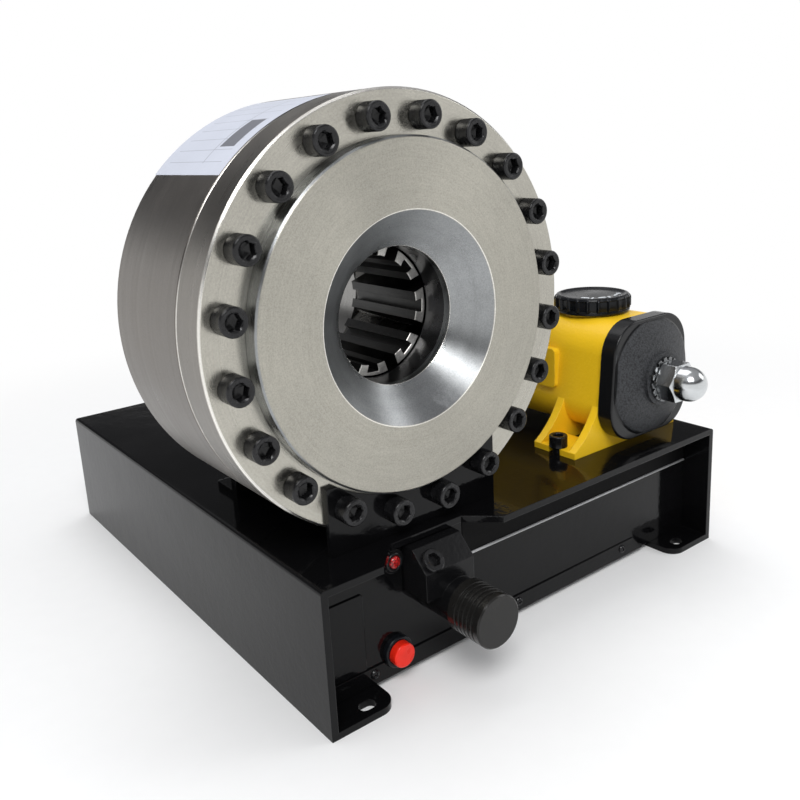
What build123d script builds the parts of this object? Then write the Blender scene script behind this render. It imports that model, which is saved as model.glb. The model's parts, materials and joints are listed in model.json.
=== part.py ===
from build123d import *
import math
import os

# Bench hose crimping machine: crimping head, hand pump and control valve on one folded base.
#
# Frame: millimetres, +Z up. The origin is the centre of the base footprint on the floor, the front of
# the machine faces -Y and the hand pump stands on the +X side. The crimping axis runs along Y.

# Base: folded sheet, open at the bottom, with inward feet
BASE_W = 404.0
BASE_D = 460.0
BASE_H = 104.0
BASE_SHEET = 5.0
BASE_BEND_R = 3.0
FOOT_W = 52.0
FOOT_CORNER_R = 12.0
SLOT_INSET_X = 34.0
SLOT_INSET_Y = 10.0
SLOT_W = 9.0
SLOT_L = 13.0
NOTCH_BACK_W = 61.5
NOTCH_FRONT_W = 104.0
NOTCH_DEPTH = 21.0
NOTCH_LEFT_OF_VALVE = 2.0

# Panels
PANEL_T = 3.0
FRONT_OVERHANG = 25.0
REAR_OVERHANG = 4.0
COVER_W = 38.0
COVER_H = 56.0
COVER_T = 1.2
LIP_H = 13.0
LIP_T = 1.2
SCREW_HEAD_D = 7.0
SCREW_HEAD_H = 2.2
SCREW_D = 4.0

# Crimping head
HEAD_FROM_LEFT = 100.0
RING_FRONT_SETBACK = 35.0
RING_D = 288.0
RING_T = 30.0
RING_EDGE = 1.5
HEAD_REST_GAP = 1.0
BODY_L = 96.0
BOLT_COUNT = 20
BOLT_CIRCLE_D = 256.0
BOLT_D = 12.0
BOLT_GRIP_L = 58.0
DISC_D = 230.0
DISC_PROUD = 12.0
SHOULDER_D = 240.0
SHOULDER_T = 14.0
FUNNEL_D = 140.0
FUNNEL_DEPTH = 20.0
THROAT_D = 92.0
THROAT_LAND = 6.0
BORE_D = 224.0
REAR_WALL_T = 16.0
STEM_D = 160.0
PISTON_T = 24.0
PISTON_NOSE_L = 5.0
PISTON_NOSE_D = 200.0
PISTON_BACKLASH = 1.0
STEM_PROUD = 30.0
CONE_APOTHEM = 48.0
CONE_SLOPE = 0.40
CONE_L = 44.0
STROKE = 20.0
STROKE_RESERVE = 2.0

# Dies
DIE_COUNT = 8
DIE_BORE_D = 60.0
DIE_GAP = 4.4
DIE_END_INSET = 11.0
DIE_CROWN_DROP = 1.6
DIE_SLOT_W = 7.0
DIE_SLOT_DEPTH = 12.0
DIE_SLOT_R = 43.0
DIE_GROOVE_W = 3.0
DIE_GROOVE_DEPTH = 2.5
DIE_GROOVE_PITCH = 8.0

# Seals and gland
SEAL_W = 6.0
SEAL_GROOVE = 3.0
SEAL_DEPTH = 5.0
GLAND_D = 224.0
GLAND_T = 8.0
GLAND_BOLT_COUNT = 8
GLAND_BOLT_D = 8.0
GLAND_BOLT_CIRCLE_D = 192.0

# Brackets that carry the head
BRACKET_W = 143.0
BRACKET_T = 4.0
BRACKET_H = 47.0
BRACKET_DISC_GAP = 2.0
SUPPORT_T = 8.0
SUPPORT_BOLT_D = 10.0
SUPPORT_BOLT_CIRCLE_D = 262.0
SUPPORT_BOLT_ANGLE = 24.0

# Control valve in the front panel
VALVE_FROM_LEFT = 101.0
VALVE_W = 42.0
VALVE_BOTTOM = 65.0
VALVE_DEPTH = 58.0
VALVE_PROUD = 25.0
VALVE_CHAMFER = 13.5
VALVE_CLEARANCE = 1.0
VALVE_REAR_LEFT = 24.0
VALVE_REAR_RIGHT = 10.0
VALVE_REAR_BOTTOM = 40.0
SLEEVE_D = 32.0
SLEEVE_PROUD = 33.0
KNOB_RIGHT_OF_VALVE = 6.0
KNOB_Z = 57.5
KNOB_D = 37.0
KNOB_L = 31.0
KNOB_STANDOFF = 0.5
KNOB_GROOVES = 5
KNOB_GROOVE_PITCH = 4.0
KNOB_GROOVE_W = 1.8
KNOB_GROOVE_DEPTH = 1.2
KNOB_FACE_LAND = 3.0
SPINDLE_D = 12.0
SPINDLE_L = 30.0
LENS_LEFT_OF_VALVE = 30.5
LENS_Z = 90.0
LENS_D = 9.0
LENS_DEPTH = 6.0
LENS_DOME = 3.0
BEZEL_D = 13.0
BEZEL_T = 1.6
LENS_LUG_D = 17.0
LENS_LUG_PROUD = 3.0
PORT_PLUG_LEFT_OF_VALVE = 11.0
PORT_PLUG_DROP = 1.5
PORT_PLUG_D = 16.0
PORT_PLUG_T = 3.0
PORT_PLUG_THREAD_D = 11.0
PORT_PLUG_SOCKET = 5.0
PORT_PLUG_L = 8.0

# Push button
BUTTON_LEFT_OF_VALVE = 30.5
BUTTON_Z = 22.5
BUTTON_D = 17.4
BUTTON_BEZEL_D = 23.0
BUTTON_BEZEL_T = 4.5
BUTTON_BARREL_D = 20.5
BUTTON_BARREL_L = 22.0
BUTTON_BORE_L = 14.0
BUTTON_TRAVEL = 4.0
BUTTON_PROUD = 10.5
BUTTON_STEM_L = 8.0
BUTTON_NUT_T = 4.0
BUTTON_NUT_AF = 26.0

# Hand pump
TANK_FROM_RIGHT = 63.0
TANK_Z = 161.0
TANK_W = 100.0
TANK_TOP_W = 84.0
TANK_HEIGHT = 94.0
TANK_CORNER_R = 26.0
TANK_WALL = 5.0
TANK_FRONT_SETBACK = 34.0
TANK_L = 299.0
END_CAP_OVERHANG = 2.5
END_CAP_T = 13.5
END_CAP_DOME = 13.0
END_CAP_FIELD_INSET = 3.0
END_CAP_BOSS_D = 44.0
END_CAP_BOSS_STEP = 1.0
GASKET_T = 1.0
TIE_ROD_D = 20.0
TIE_ROD_GRIP = 12.0
TIE_WASHER_D = 37.0
TIE_WASHER_T = 3.0
NUT_AF = 30.0
NUT_HEX_L = 15.0
NUT_DOME_D = 28.0
FILLER_BEHIND_FRONT = 47.0
FILLER_CAP_D = 65.0
FILLER_CAP_H = 14.5
FILLER_NECK_D = 44.0
FILLER_NECK_H = 9.0
FILLER_NECK_WALL = 4.0
FILLER_RIBS = 24
RIB_T = 7.0
RIB_SPREAD = 27.0
RIB_PITCH = 37.0
RIB_CREST_DROP = 17.0
RIB_CREST_INSET = 3.5
RIB_MID_OUT = 0.38
RIB_MID_UP = 0.47
RIB_RIGHT_SPREAD = 4.0
FOOT_BOLT_INSET = 5.0
PAD_T = 5.0
FOOT_BOLT_D = 10.0
FOOT_SLOT_W = 12.0
PUMP_HEAD_W = 84.0
PUMP_HEAD_L = 62.0
PUMP_HEAD_TOP = 190.0
PLUNGER_D = 22.0
PLUNGER_PROUD = 34.0
PLUNGER_FIT = 0.05
LEVER_ARM = 36.0
LEVER_PIN_D = 14.0
LEVER_W = 24.0
LEVER_SOCKET_D = 34.0
LEVER_SOCKET_BORE = 24.0
LEVER_PIN_RISE = 30.0
LEVER_SOCKET_START = 28.0
LEVER_SOCKET_L = 90.0
LEVER_TILT = 35.0
NOSE_CLEAR = 2.0
LUG_T = 12.0
LUG_GAP = 0.5
PIPE_D = 8.0
PIPE_BEND_R = 30.0
PIPE_ANGLE = 35.0
PIPE_NUT_AF = 19.0
PIPE_NUT_L = 16.0

# Shared clearances
FIT = 0.05
SLIDE_GAP = 0.05
LOOSE = 0.3

# Derived places
FRONT_Y = -BASE_D / 2
REAR_Y = BASE_D / 2
RING_Y = FRONT_Y + RING_FRONT_SETBACK
HEAD_X = HEAD_FROM_LEFT - BASE_W / 2
TANK_X = BASE_W / 2 - TANK_FROM_RIGHT
TANK_FRONT_Y = FRONT_Y + TANK_FRONT_SETBACK
FILLER_Y = TANK_FRONT_Y + FILLER_BEHIND_FRONT
VALVE_X = VALVE_FROM_LEFT - BASE_W / 2
KNOB_X = VALVE_X + KNOB_RIGHT_OF_VALVE
LENS_X = VALVE_X - LENS_LEFT_OF_VALVE
PORT_PLUG_X = VALVE_X - PORT_PLUG_LEFT_OF_VALVE
BUTTON_X = VALVE_X - BUTTON_LEFT_OF_VALVE
HEAD_Z = BASE_H + HEAD_REST_GAP + RING_D / 2
PANEL_Y = FRONT_Y + FRONT_OVERHANG
TOP_UNDER = BASE_H - BASE_SHEET
BODY_BACK = RING_T + BODY_L
CONE_FRONT = FUNNEL_DEPTH - DISC_PROUD + THROAT_LAND
CONE_END = CONE_FRONT + CONE_L
PISTON_NOSE = CONE_END + STROKE + STROKE_RESERVE
CONE_MIDDLE = (CONE_END + PISTON_NOSE) / 2
PISTON_BACK = BODY_BACK - REAR_WALL_T - PISTON_BACKLASH
SECTOR = 360.0 / DIE_COUNT


def write(shape, node):
    """Write one node's solids to its STEP file."""
    export_step(Compound(children=shape.solids()) if len(shape.solids()) > 1 else shape, f"parts/{node}.step")


def along_y(shape, x, y, z):
    """Place a shape built about local +Z so that local +Z runs along world +Y."""
    return Pos(x, y, z) * Rot(-90, 0, 0) * shape


def toward_front(shape, x, y, z):
    """Place a shape built about local +Z so that local +Z runs along world -Y."""
    return Pos(x, y, z) * Rot(90, 0, 0) * shape


def on_head(shape):
    """Place a head piece: local Z is the distance behind the ring's front face."""
    return along_y(shape, HEAD_X, RING_Y, HEAD_Z)


def rod(radius, start, length):
    """Cylinder about local Z from start to start + length."""
    return Pos(0, 0, start + length / 2) * Cylinder(radius, length)


def tube(outer, inner, start, length):
    """Ring about local Z from start to start + length."""
    return rod(outer, start, length) - rod(inner, start, length)


def block(x0, x1, y0, y1, z0, z1):
    """Box between two corners."""
    return Pos((x0 + x1) / 2, (y0 + y1) / 2, (z0 + z1) / 2) * Box(x1 - x0, y1 - y0, z1 - z0)


def turned(points):
    """Solid of revolution about local Z from (radius, height) points."""
    outline = Polyline([(r, 0, h) for r, h in points], close=True)
    return revolve(make_face(outline), Axis.Z)


def ring_places(radius, count, start_angle=0.0):
    """Locations on a circle about local Z."""
    return [Rot(0, 0, start_angle + 360.0 * k / count) * Pos(radius, 0, 0) for k in range(count)]


def socket_screw(diameter, shank_l):
    """Hexagon socket cap screw: seat at local z 0, head towards -z, shank towards +z."""
    head = rod(diameter * 0.75, -diameter, diameter)
    head = chamfer(head.edges().filter_by(GeomType.CIRCLE).sort_by(Axis.Z)[0], diameter / 15)
    socket = Pos(0, 0, -diameter) * extrude(RegularPolygon(diameter * 0.46, 6), diameter / 2)
    return head - socket + rod(diameter / 2 - FIT, 0, shank_l)


def hex_bolt(diameter, shank_l):
    """Hexagon head bolt: seat at local z 0, head towards -z."""
    head_h = diameter * 0.65
    head = Pos(0, 0, -head_h) * extrude(RegularPolygon(diameter * 0.85, 6, major_radius=False), head_h)
    return head + rod(diameter / 2 - FIT, 0, shank_l)


def octagon_frustum(z0, apothem0, z1, apothem1):
    """Tapered octagonal solid with a flat centred on every die."""
    lower = Pos(0, 0, z0) * RegularPolygon(apothem0, DIE_COUNT, major_radius=False, rotation=SECTOR / 2)
    upper = Pos(0, 0, z1) * RegularPolygon(apothem1, DIE_COUNT, major_radius=False, rotation=SECTOR / 2)
    return loft([lower, upper])


def slot_places():
    """Centres of the four floor slots."""
    x = BASE_W / 2 - SLOT_INSET_X
    y = BASE_D / 2 - SLOT_INSET_Y
    return [(sx * x, sy * y) for sx in (-1, 1) for sy in (-1, 1)]


# ---------------------------------------------------------------- base
def base_housing():
    """Folded base: top plate, two side plates and inward foot flanges."""
    half = BASE_W / 2
    profile = block(-half, half, FRONT_Y, REAR_Y, 0, BASE_H)
    profile = fillet(profile.edges().filter_by(Axis.Y).group_by(Axis.Z)[-1], BASE_BEND_R)
    inner = half - BASE_SHEET
    hollow = block(-inner, inner, FRONT_Y, REAR_Y, BASE_SHEET, TOP_UNDER)
    throat = block(-half + FOOT_W, half - FOOT_W, FRONT_Y, REAR_Y, 0, BASE_SHEET)
    body = profile - hollow - throat
    feet = body.edges().filter_by(Axis.Z).filter_by(lambda e: abs(abs(e.center().X) - (half - FOOT_W)) < 0.1)
    body = fillet(feet, FOOT_CORNER_R)
    for x, y in slot_places():
        body -= Pos(x, y, 0) * extrude(SlotOverall(SLOT_L, SLOT_W), BASE_SHEET)
    back_y = FRONT_Y + NOTCH_DEPTH
    notch_x = VALVE_X - NOTCH_LEFT_OF_VALVE
    notch = Polyline(
        (notch_x - NOTCH_FRONT_W / 2, FRONT_Y), (notch_x - NOTCH_BACK_W / 2, back_y),
        (notch_x + NOTCH_BACK_W / 2, back_y), (notch_x + NOTCH_FRONT_W / 2, FRONT_Y), close=True)
    body -= Pos(0, 0, TOP_UNDER) * extrude(make_face(notch), BASE_SHEET)
    for x, y in tank_bolt_places() + pump_head_bolt_places():
        body -= Pos(x, y, TOP_UNDER) * rod(FOOT_BOLT_D / 2, 0, BASE_SHEET)
    return body


def panel_sheet(y0):
    """Upright sheet that closes the base between its side plates, seated on the foot flanges."""
    inner = BASE_W / 2 - BASE_SHEET
    sheet = block(-inner, inner, y0, y0 + PANEL_T, BASE_SHEET, TOP_UNDER)
    return sheet


def front_panel():
    """Front panel with the openings of the valve, the button hole and the screw holes."""
    panel = panel_sheet(PANEL_Y)
    half = VALVE_W / 2 + VALVE_CLEARANCE
    panel -= block(VALVE_X - half, VALVE_X + half, PANEL_Y, PANEL_Y + PANEL_T,
                   VALVE_BOTTOM - VALVE_CLEARANCE, TOP_UNDER)
    panel -= along_y(rod(LENS_LUG_D / 2 + FIT, 0, PANEL_T), LENS_X, PANEL_Y, LENS_Z)
    panel -= along_y(rod(SLEEVE_D / 2 + FIT, 0, PANEL_T), KNOB_X, PANEL_Y, KNOB_Z)
    panel -= along_y(rod(BUTTON_BARREL_D / 2 + FIT, 0, PANEL_T), BUTTON_X, PANEL_Y, BUTTON_Z)
    for x, z in screw_places():
        panel -= along_y(rod(SCREW_D / 2, 0, PANEL_T), x, PANEL_Y, z)
    return panel


def rear_panel():
    """Plain sheet that closes the base at the back."""
    return panel_sheet(REAR_Y - REAR_OVERHANG - PANEL_T)


def front_lip():
    """Low strip screwed along the foot of the front panel, with a sloped right end."""
    x0 = -BASE_W / 2 + BASE_SHEET
    x1 = BASE_W / 2 - FOOT_W - FOOT_CORNER_R
    outline = Polyline((x0, BASE_SHEET), (x1, BASE_SHEET), (x1 - LIP_H, BASE_SHEET + LIP_H),
                       (x0, BASE_SHEET + LIP_H), close=True)
    strip = extrude(make_face(outline), LIP_T)
    strip = Pos(0, PANEL_Y, 0) * Rot(90, 0, 0) * strip
    strip -= toward_front(rod(BUTTON_BEZEL_D / 2 + LOOSE, 0, LIP_T), BUTTON_X, PANEL_Y, BUTTON_Z)
    for x, z in screw_places():
        strip -= toward_front(rod(SCREW_D / 2, 0, LIP_T), x, PANEL_Y, z)
    return strip


def access_cover():
    """Blank cover plate on the left of the front panel."""
    x0 = -BASE_W / 2 + BASE_SHEET + 2.0
    z0 = BASE_SHEET + LIP_H + 1.0
    plate = block(x0, x0 + COVER_W, PANEL_Y - COVER_T, PANEL_Y, z0, z0 + COVER_H)
    return fillet(plate.edges().filter_by(Axis.Y), 1.5)


def screw_places():
    """Screws of the strip along the foot of the front panel."""
    z = BASE_SHEET + LIP_H * 0.6
    left = -BASE_W / 2 + BASE_SHEET + 10.0
    return [(left, z), (left + 36.0, z), (-14.0, z), (110.0, z)]


def panel_screws():
    """Pan head screws through the strip into the front panel."""
    screw = rod(SCREW_HEAD_D / 2, 0, SCREW_HEAD_H)
    screw = fillet(screw.edges().filter_by(GeomType.CIRCLE).sort_by(Axis.Z)[-1], 1.0)
    screw += rod(SCREW_D / 2 - FIT, -LIP_T - PANEL_T, LIP_T + PANEL_T)
    return Compound(children=[toward_front(screw, x, PANEL_Y - LIP_T, z) for x, z in screw_places()])


# ---------------------------------------------------------------- head supports
def head_bracket():
    """Upright plate on the base, bolted under four ring bolts and cut clear of the raised disc."""
    plate = block(HEAD_X - BRACKET_W / 2, HEAD_X + BRACKET_W / 2, RING_Y - BRACKET_T, RING_Y,
                  BASE_H, BASE_H + BRACKET_H)
    plate -= toward_front(rod(DISC_D / 2 + BRACKET_DISC_GAP, 0, BRACKET_T), HEAD_X, RING_Y, HEAD_Z)
    for place in ring_places(BOLT_CIRCLE_D / 2, BOLT_COUNT, 180.0 / BOLT_COUNT):
        plate -= on_head(place * rod(BOLT_D / 2 + 0.5, -BRACKET_T, BRACKET_T))
    return plate


def support_bolt_places():
    """Two bolts either side of the lowest point of the head, in local head coordinates."""
    r = SUPPORT_BOLT_CIRCLE_D / 2
    angles = (90 - SUPPORT_BOLT_ANGLE, 90 + SUPPORT_BOLT_ANGLE)
    return [(r * math.cos(math.radians(a)), r * math.sin(math.radians(a))) for a in angles]


def rear_support():
    """Upright plate behind the head, bolted to its rear face, with a foot flange on the base."""
    y0 = RING_Y + BODY_BACK
    plate = block(HEAD_X - BRACKET_W / 2, HEAD_X + BRACKET_W / 2, y0, y0 + SUPPORT_T,
                  BASE_H, BASE_H + BRACKET_H)
    plate -= along_y(rod(GLAND_D / 2 + BRACKET_DISC_GAP, 0, SUPPORT_T), HEAD_X, y0, HEAD_Z)
    foot = block(HEAD_X - BRACKET_W / 2, HEAD_X + BRACKET_W / 2, y0 + SUPPORT_T, y0 + 4 * SUPPORT_T,
                 BASE_H, BASE_H + BASE_SHEET)
    plate += foot
    for x, y in support_bolt_places():
        plate -= on_head(Pos(x, y, 0) * rod(SUPPORT_BOLT_D / 2, BODY_BACK, SUPPORT_T))
    return plate


def support_bolts():
    """Hexagon bolts of the rear support."""
    bolt = Rot(180, 0, 0) * hex_bolt(SUPPORT_BOLT_D, SUPPORT_T + 1.5 * SUPPORT_BOLT_D)
    return Compound(children=[on_head(Pos(x, y, BODY_BACK + SUPPORT_T) * bolt) for x, y in support_bolt_places()])


# ---------------------------------------------------------------- crimping head
def ring_flange():
    """Front ring: holds the front cone by its shoulder and closes the cylinder."""
    r = RING_D / 2
    seat = RING_T - SHOULDER_T
    ring = turned([
        (DISC_D / 2 + FIT, 0), (r - RING_EDGE, 0), (r, RING_EDGE), (r, RING_T - RING_EDGE),
        (r - RING_EDGE, RING_T), (SHOULDER_D / 2 + FIT, RING_T), (SHOULDER_D / 2 + FIT, seat),
        (DISC_D / 2 + FIT, seat)])
    for place in ring_places(BOLT_CIRCLE_D / 2, BOLT_COUNT, 180.0 / BOLT_COUNT):
        ring -= place * rod(BOLT_D / 2, 0, RING_T)
    return on_head(ring)


def ring_bolts():
    """Cap screws of the ring; the lowest four also clamp the head bracket."""
    bolts = []
    for place in ring_places(BOLT_CIRCLE_D / 2, BOLT_COUNT, 180.0 / BOLT_COUNT):
        x, y = place.position.X, place.position.Y
        clamps_bracket = y > 0 and abs(x) < BRACKET_W / 2
        seat = -BRACKET_T if clamps_bracket else 0.0
        bolts.append(on_head(Pos(x, y, seat) * Rot(0, 0, 17.0 * len(bolts)) * socket_screw(BOLT_D, BOLT_GRIP_L)))
    return Compound(children=bolts)


def front_cone():
    """Raised front disc with the funnel, the throat and the octagonal slide faces for the dies."""
    funnel_end = FUNNEL_DEPTH - DISC_PROUD
    seat = RING_T - SHOULDER_T
    nose_r = BORE_D / 2 - FIT
    pocket_r = (CONE_APOTHEM + CONE_SLOPE * CONE_L) * 0.5
    cone = turned([
        (THROAT_D / 2, funnel_end), (FUNNEL_D / 2, -DISC_PROUD), (DISC_D / 2 - RING_EDGE, -DISC_PROUD),
        (DISC_D / 2, -DISC_PROUD + RING_EDGE), (DISC_D / 2, seat), (SHOULDER_D / 2, seat),
        (SHOULDER_D / 2, RING_T), (nose_r, RING_T), (nose_r, CONE_END), (pocket_r, CONE_END),
        (pocket_r, CONE_FRONT), (THROAT_D / 2, CONE_FRONT)])
    return on_head(cone - octagon_frustum(CONE_FRONT, CONE_APOTHEM, CONE_END, CONE_APOTHEM + CONE_SLOPE * CONE_L))


def cylinder_body():
    """Cylinder: bore for the piston, rear wall with the stem bore and the oil port."""
    r = RING_D / 2
    wall_front = BODY_BACK - REAR_WALL_T
    groove_r = (BORE_D + SHOULDER_D) / 4
    body = turned([
        (BORE_D / 2, RING_T), (r - RING_EDGE, RING_T), (r, RING_T + RING_EDGE), (r, BODY_BACK - RING_EDGE),
        (r - RING_EDGE, BODY_BACK), (STEM_D / 2 + FIT, BODY_BACK), (STEM_D / 2 + FIT, wall_front),
        (BORE_D / 2, wall_front)])
    body -= tube(groove_r + SEAL_GROOVE / 2, groove_r - SEAL_GROOVE / 2, RING_T, SEAL_GROOVE)
    body -= tube(STEM_D / 2 + SEAL_DEPTH, STEM_D / 2, wall_front + SEAL_W / 2, SEAL_W)
    for place in ring_places(BOLT_CIRCLE_D / 2, BOLT_COUNT, 180.0 / BOLT_COUNT):
        body -= place * rod(BOLT_D / 2, RING_T, BOLT_GRIP_L - RING_T)
    for place in ring_places(GLAND_BOLT_CIRCLE_D / 2, GLAND_BOLT_COUNT, SECTOR / 2):
        body -= place * rod(GLAND_BOLT_D / 2, BODY_BACK - GLAND_BOLT_D * 1.5, GLAND_BOLT_D * 1.5)
    for x, y in support_bolt_places():
        body -= Pos(x, y, 0) * rod(SUPPORT_BOLT_D / 2, BODY_BACK - 1.5 * SUPPORT_BOLT_D, 1.5 * SUPPORT_BOLT_D)
    px, py = pipe_port()
    body -= Pos(px, py, 0) * rod(PIPE_D / 2, BODY_BACK - REAR_WALL_T, REAR_WALL_T)
    return on_head(body)


def flange_seal():
    """Static seal ring in the front face of the cylinder."""
    r = (BORE_D + SHOULDER_D) / 4
    return on_head(tube(r + SEAL_GROOVE / 2, r - SEAL_GROOVE / 2, RING_T, SEAL_GROOVE))


def piston():
    """Ring piston with the moving octagonal cone and the hollow stem through the rear wall."""
    front = PISTON_BACK - PISTON_T
    groove0 = front + PISTON_T / 2 - SEAL_W / 2
    groove_r = BORE_D / 2 - FIT - SEAL_DEPTH
    bore_r = THROAT_D / 2 + 2.0
    bore_start = PISTON_NOSE + CONE_L
    stem_end = BODY_BACK + STEM_PROUD
    ring_r = BORE_D / 2 - FIT
    pocket_r = CONE_APOTHEM * 0.5
    body = turned([
        (pocket_r, PISTON_NOSE), (PISTON_NOSE_D / 2, PISTON_NOSE), (PISTON_NOSE_D / 2, front), (ring_r, front),
        (ring_r, groove0), (groove_r, groove0), (groove_r, groove0 + SEAL_W), (ring_r, groove0 + SEAL_W),
        (ring_r, PISTON_BACK), (STEM_D / 2, PISTON_BACK), (STEM_D / 2, stem_end - RING_EDGE),
        (STEM_D / 2 - RING_EDGE, stem_end), (bore_r + RING_EDGE, stem_end), (bore_r, stem_end - RING_EDGE),
        (bore_r, bore_start), (pocket_r, bore_start)])
    apothem = CONE_APOTHEM + CONE_SLOPE * CONE_L
    return on_head(body - octagon_frustum(PISTON_NOSE, apothem, bore_start, CONE_APOTHEM))


def piston_seal():
    """Pressure seal in the piston's groove."""
    start = PISTON_BACK - PISTON_T / 2 - SEAL_W / 2
    return on_head(tube(BORE_D / 2 - 2 * FIT, BORE_D / 2 - FIT - SEAL_DEPTH, start, SEAL_W))


def stem_seal():
    """Pressure seal around the piston stem, held in the rear wall."""
    start = BODY_BACK - REAR_WALL_T + SEAL_W / 2
    return on_head(tube(STEM_D / 2 + SEAL_DEPTH, STEM_D / 2 + 2 * FIT, start, SEAL_W))


def gland_ring():
    """Bolted ring around the piston stem on the rear face."""
    gland = tube(GLAND_D / 2, STEM_D / 2 + LOOSE, BODY_BACK, GLAND_T)
    gland = chamfer(gland.edges().filter_by(GeomType.CIRCLE).group_by(Axis.Z)[-1], 1.0)
    for place in ring_places(GLAND_BOLT_CIRCLE_D / 2, GLAND_BOLT_COUNT, SECTOR / 2):
        gland -= place * rod(GLAND_BOLT_D / 2, BODY_BACK, GLAND_T)
    return on_head(gland)


def gland_bolts():
    """Cap screws of the gland ring."""
    bolt = Rot(180, 0, 0) * socket_screw(GLAND_BOLT_D, GLAND_T + GLAND_BOLT_D * 1.4)
    places = ring_places(GLAND_BOLT_CIRCLE_D / 2, GLAND_BOLT_COUNT, SECTOR / 2)
    return Compound(children=[on_head(place * Pos(0, 0, BODY_BACK + GLAND_T) * bolt) for place in places])


def die(index):
    """Crimping die: a sector with two sloping back faces, a grooved bore and a slotted front face."""
    z0 = CONE_FRONT + DIE_END_INSET
    z1 = 2 * CONE_MIDDLE - z0
    bore_r = DIE_BORE_D / 2

    def back(z):
        return CONE_APOTHEM + CONE_SLOPE * (z - CONE_FRONT) - SLIDE_GAP

    crown = back(CONE_MIDDLE) - DIE_CROWN_DROP
    crown_z = CONE_MIDDLE - DIE_CROWN_DROP / CONE_SLOPE
    outline = Polyline(
        (bore_r * 0.5, 0, z0), (back(z0), 0, z0), (crown, 0, crown_z),
        (crown, 0, 2 * CONE_MIDDLE - crown_z), (back(z0), 0, z1), (bore_r * 0.5, 0, z1), close=True)
    bar = extrude(make_face(outline), crown, both=True)
    apex = DIE_GAP / 2 / math.sin(math.radians(SECTOR / 2))
    reach = crown * 1.2
    spread = (reach - apex) * math.tan(math.radians(SECTOR / 2))
    wedge = Polyline((apex, 0), (reach, spread), (reach, -spread), close=True)
    body = bar & Pos(0, 0, z0) * extrude(make_face(wedge), z1 - z0)
    body -= rod(bore_r, z0, z1 - z0)
    slot = block(0, DIE_SLOT_R, -DIE_SLOT_W / 2, DIE_SLOT_W / 2, z0, z0 + DIE_SLOT_DEPTH)
    body -= slot + Pos(DIE_SLOT_R, 0, 0) * rod(DIE_SLOT_W / 2, z0, DIE_SLOT_DEPTH)
    for side in (-1, 1):
        turn = Rot(0, 0, side * math.degrees(DIE_GROOVE_PITCH / bore_r) * 0.9)
        groove = block(0, bore_r + DIE_GROOVE_DEPTH, -DIE_GROOVE_W / 2, DIE_GROOVE_W / 2, z0, z1)
        body -= turn * groove
    return on_head(Rot(0, 0, SECTOR * index) * body)


# ---------------------------------------------------------------- control valve
def sleeve_front_y():
    """Front end of the valve's sleeve, where the knob starts."""
    return PANEL_Y - SLEEVE_PROUD


def valve_block():
    """Control valve body: a chamfered nose, the knob's sleeve and the lens lug on one rear block."""
    top = TOP_UNDER - VALVE_CLEARANCE
    half = VALVE_W / 2
    behind = PANEL_Y + PANEL_T
    nose = block(VALVE_X - half, VALVE_X + half, PANEL_Y - VALVE_PROUD, behind, VALVE_BOTTOM, top)
    top_front = nose.edges().filter_by(Axis.X).sort_by(lambda e: e.center().Y - e.center().Z)[0]
    nose = chamfer(top_front, VALVE_CHAMFER)
    rear = block(VALVE_X - half - VALVE_REAR_LEFT, VALVE_X + half + VALVE_REAR_RIGHT, behind,
                 PANEL_Y + VALVE_DEPTH, VALVE_REAR_BOTTOM, top)
    sleeve = toward_front(rod(SLEEVE_D / 2, -PANEL_T, PANEL_T + SLEEVE_PROUD), KNOB_X, PANEL_Y, KNOB_Z)
    lug = toward_front(rod(LENS_LUG_D / 2, -PANEL_T, PANEL_T + LENS_LUG_PROUD), LENS_X, PANEL_Y, LENS_Z)
    body = rear + nose + sleeve + lug
    body -= along_y(rod(SPINDLE_D / 2 + FIT, 0, SPINDLE_L), KNOB_X, sleeve_front_y(), KNOB_Z)
    body -= along_y(rod(LENS_D / 2, 0, LENS_DEPTH), LENS_X, PANEL_Y - LENS_LUG_PROUD, LENS_Z)
    body -= port_plug_seat(rod(PORT_PLUG_THREAD_D / 2, -PORT_PLUG_L, PORT_PLUG_L))
    return body


def port_plug_seat(shape):
    """Place a shape on the sloping face of the valve: local +Z is the face's outward normal."""
    y = PANEL_Y - VALVE_PROUD + VALVE_CHAMFER / 2 - PORT_PLUG_DROP
    z = TOP_UNDER - VALVE_CLEARANCE - VALVE_CHAMFER / 2 - PORT_PLUG_DROP
    return Pos(PORT_PLUG_X, y, z) * Rot(45, 0, 0) * shape


def port_plug():
    """Hexagon socket plug screwed into the sloping face."""
    flange = rod(PORT_PLUG_D / 2, 0, PORT_PLUG_T)
    flange = chamfer(flange.edges().filter_by(GeomType.CIRCLE).sort_by(Axis.Z)[-1], PORT_PLUG_T / 4)
    plug = flange + rod(PORT_PLUG_THREAD_D / 2 - FIT, -PORT_PLUG_L, PORT_PLUG_L)
    plug -= Pos(0, 0, PORT_PLUG_T - PORT_PLUG_SOCKET) * extrude(RegularPolygon(PORT_PLUG_SOCKET, 6), PORT_PLUG_SOCKET)
    return port_plug_seat(plug)


def sight_lens():
    """Round red lens in the lug at the left end of the valve."""
    lens = rod(LENS_D / 2 - FIT, -LENS_DEPTH, LENS_DEPTH + LENS_DOME)
    lens = fillet(lens.edges().filter_by(GeomType.CIRCLE).sort_by(Axis.Z)[-1], LENS_DOME * 0.8)
    return toward_front(lens, LENS_X, PANEL_Y - LENS_LUG_PROUD, LENS_Z)


def lens_bezel():
    """Bright ring around the sight lens."""
    ring = tube(BEZEL_D / 2, LENS_D / 2, 0, BEZEL_T)
    ring = chamfer(ring.edges().filter_by(GeomType.CIRCLE).group_by(Axis.Z)[-1], BEZEL_T / 4)
    return toward_front(ring, LENS_X, PANEL_Y - LENS_LUG_PROUD, LENS_Z)


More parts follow.
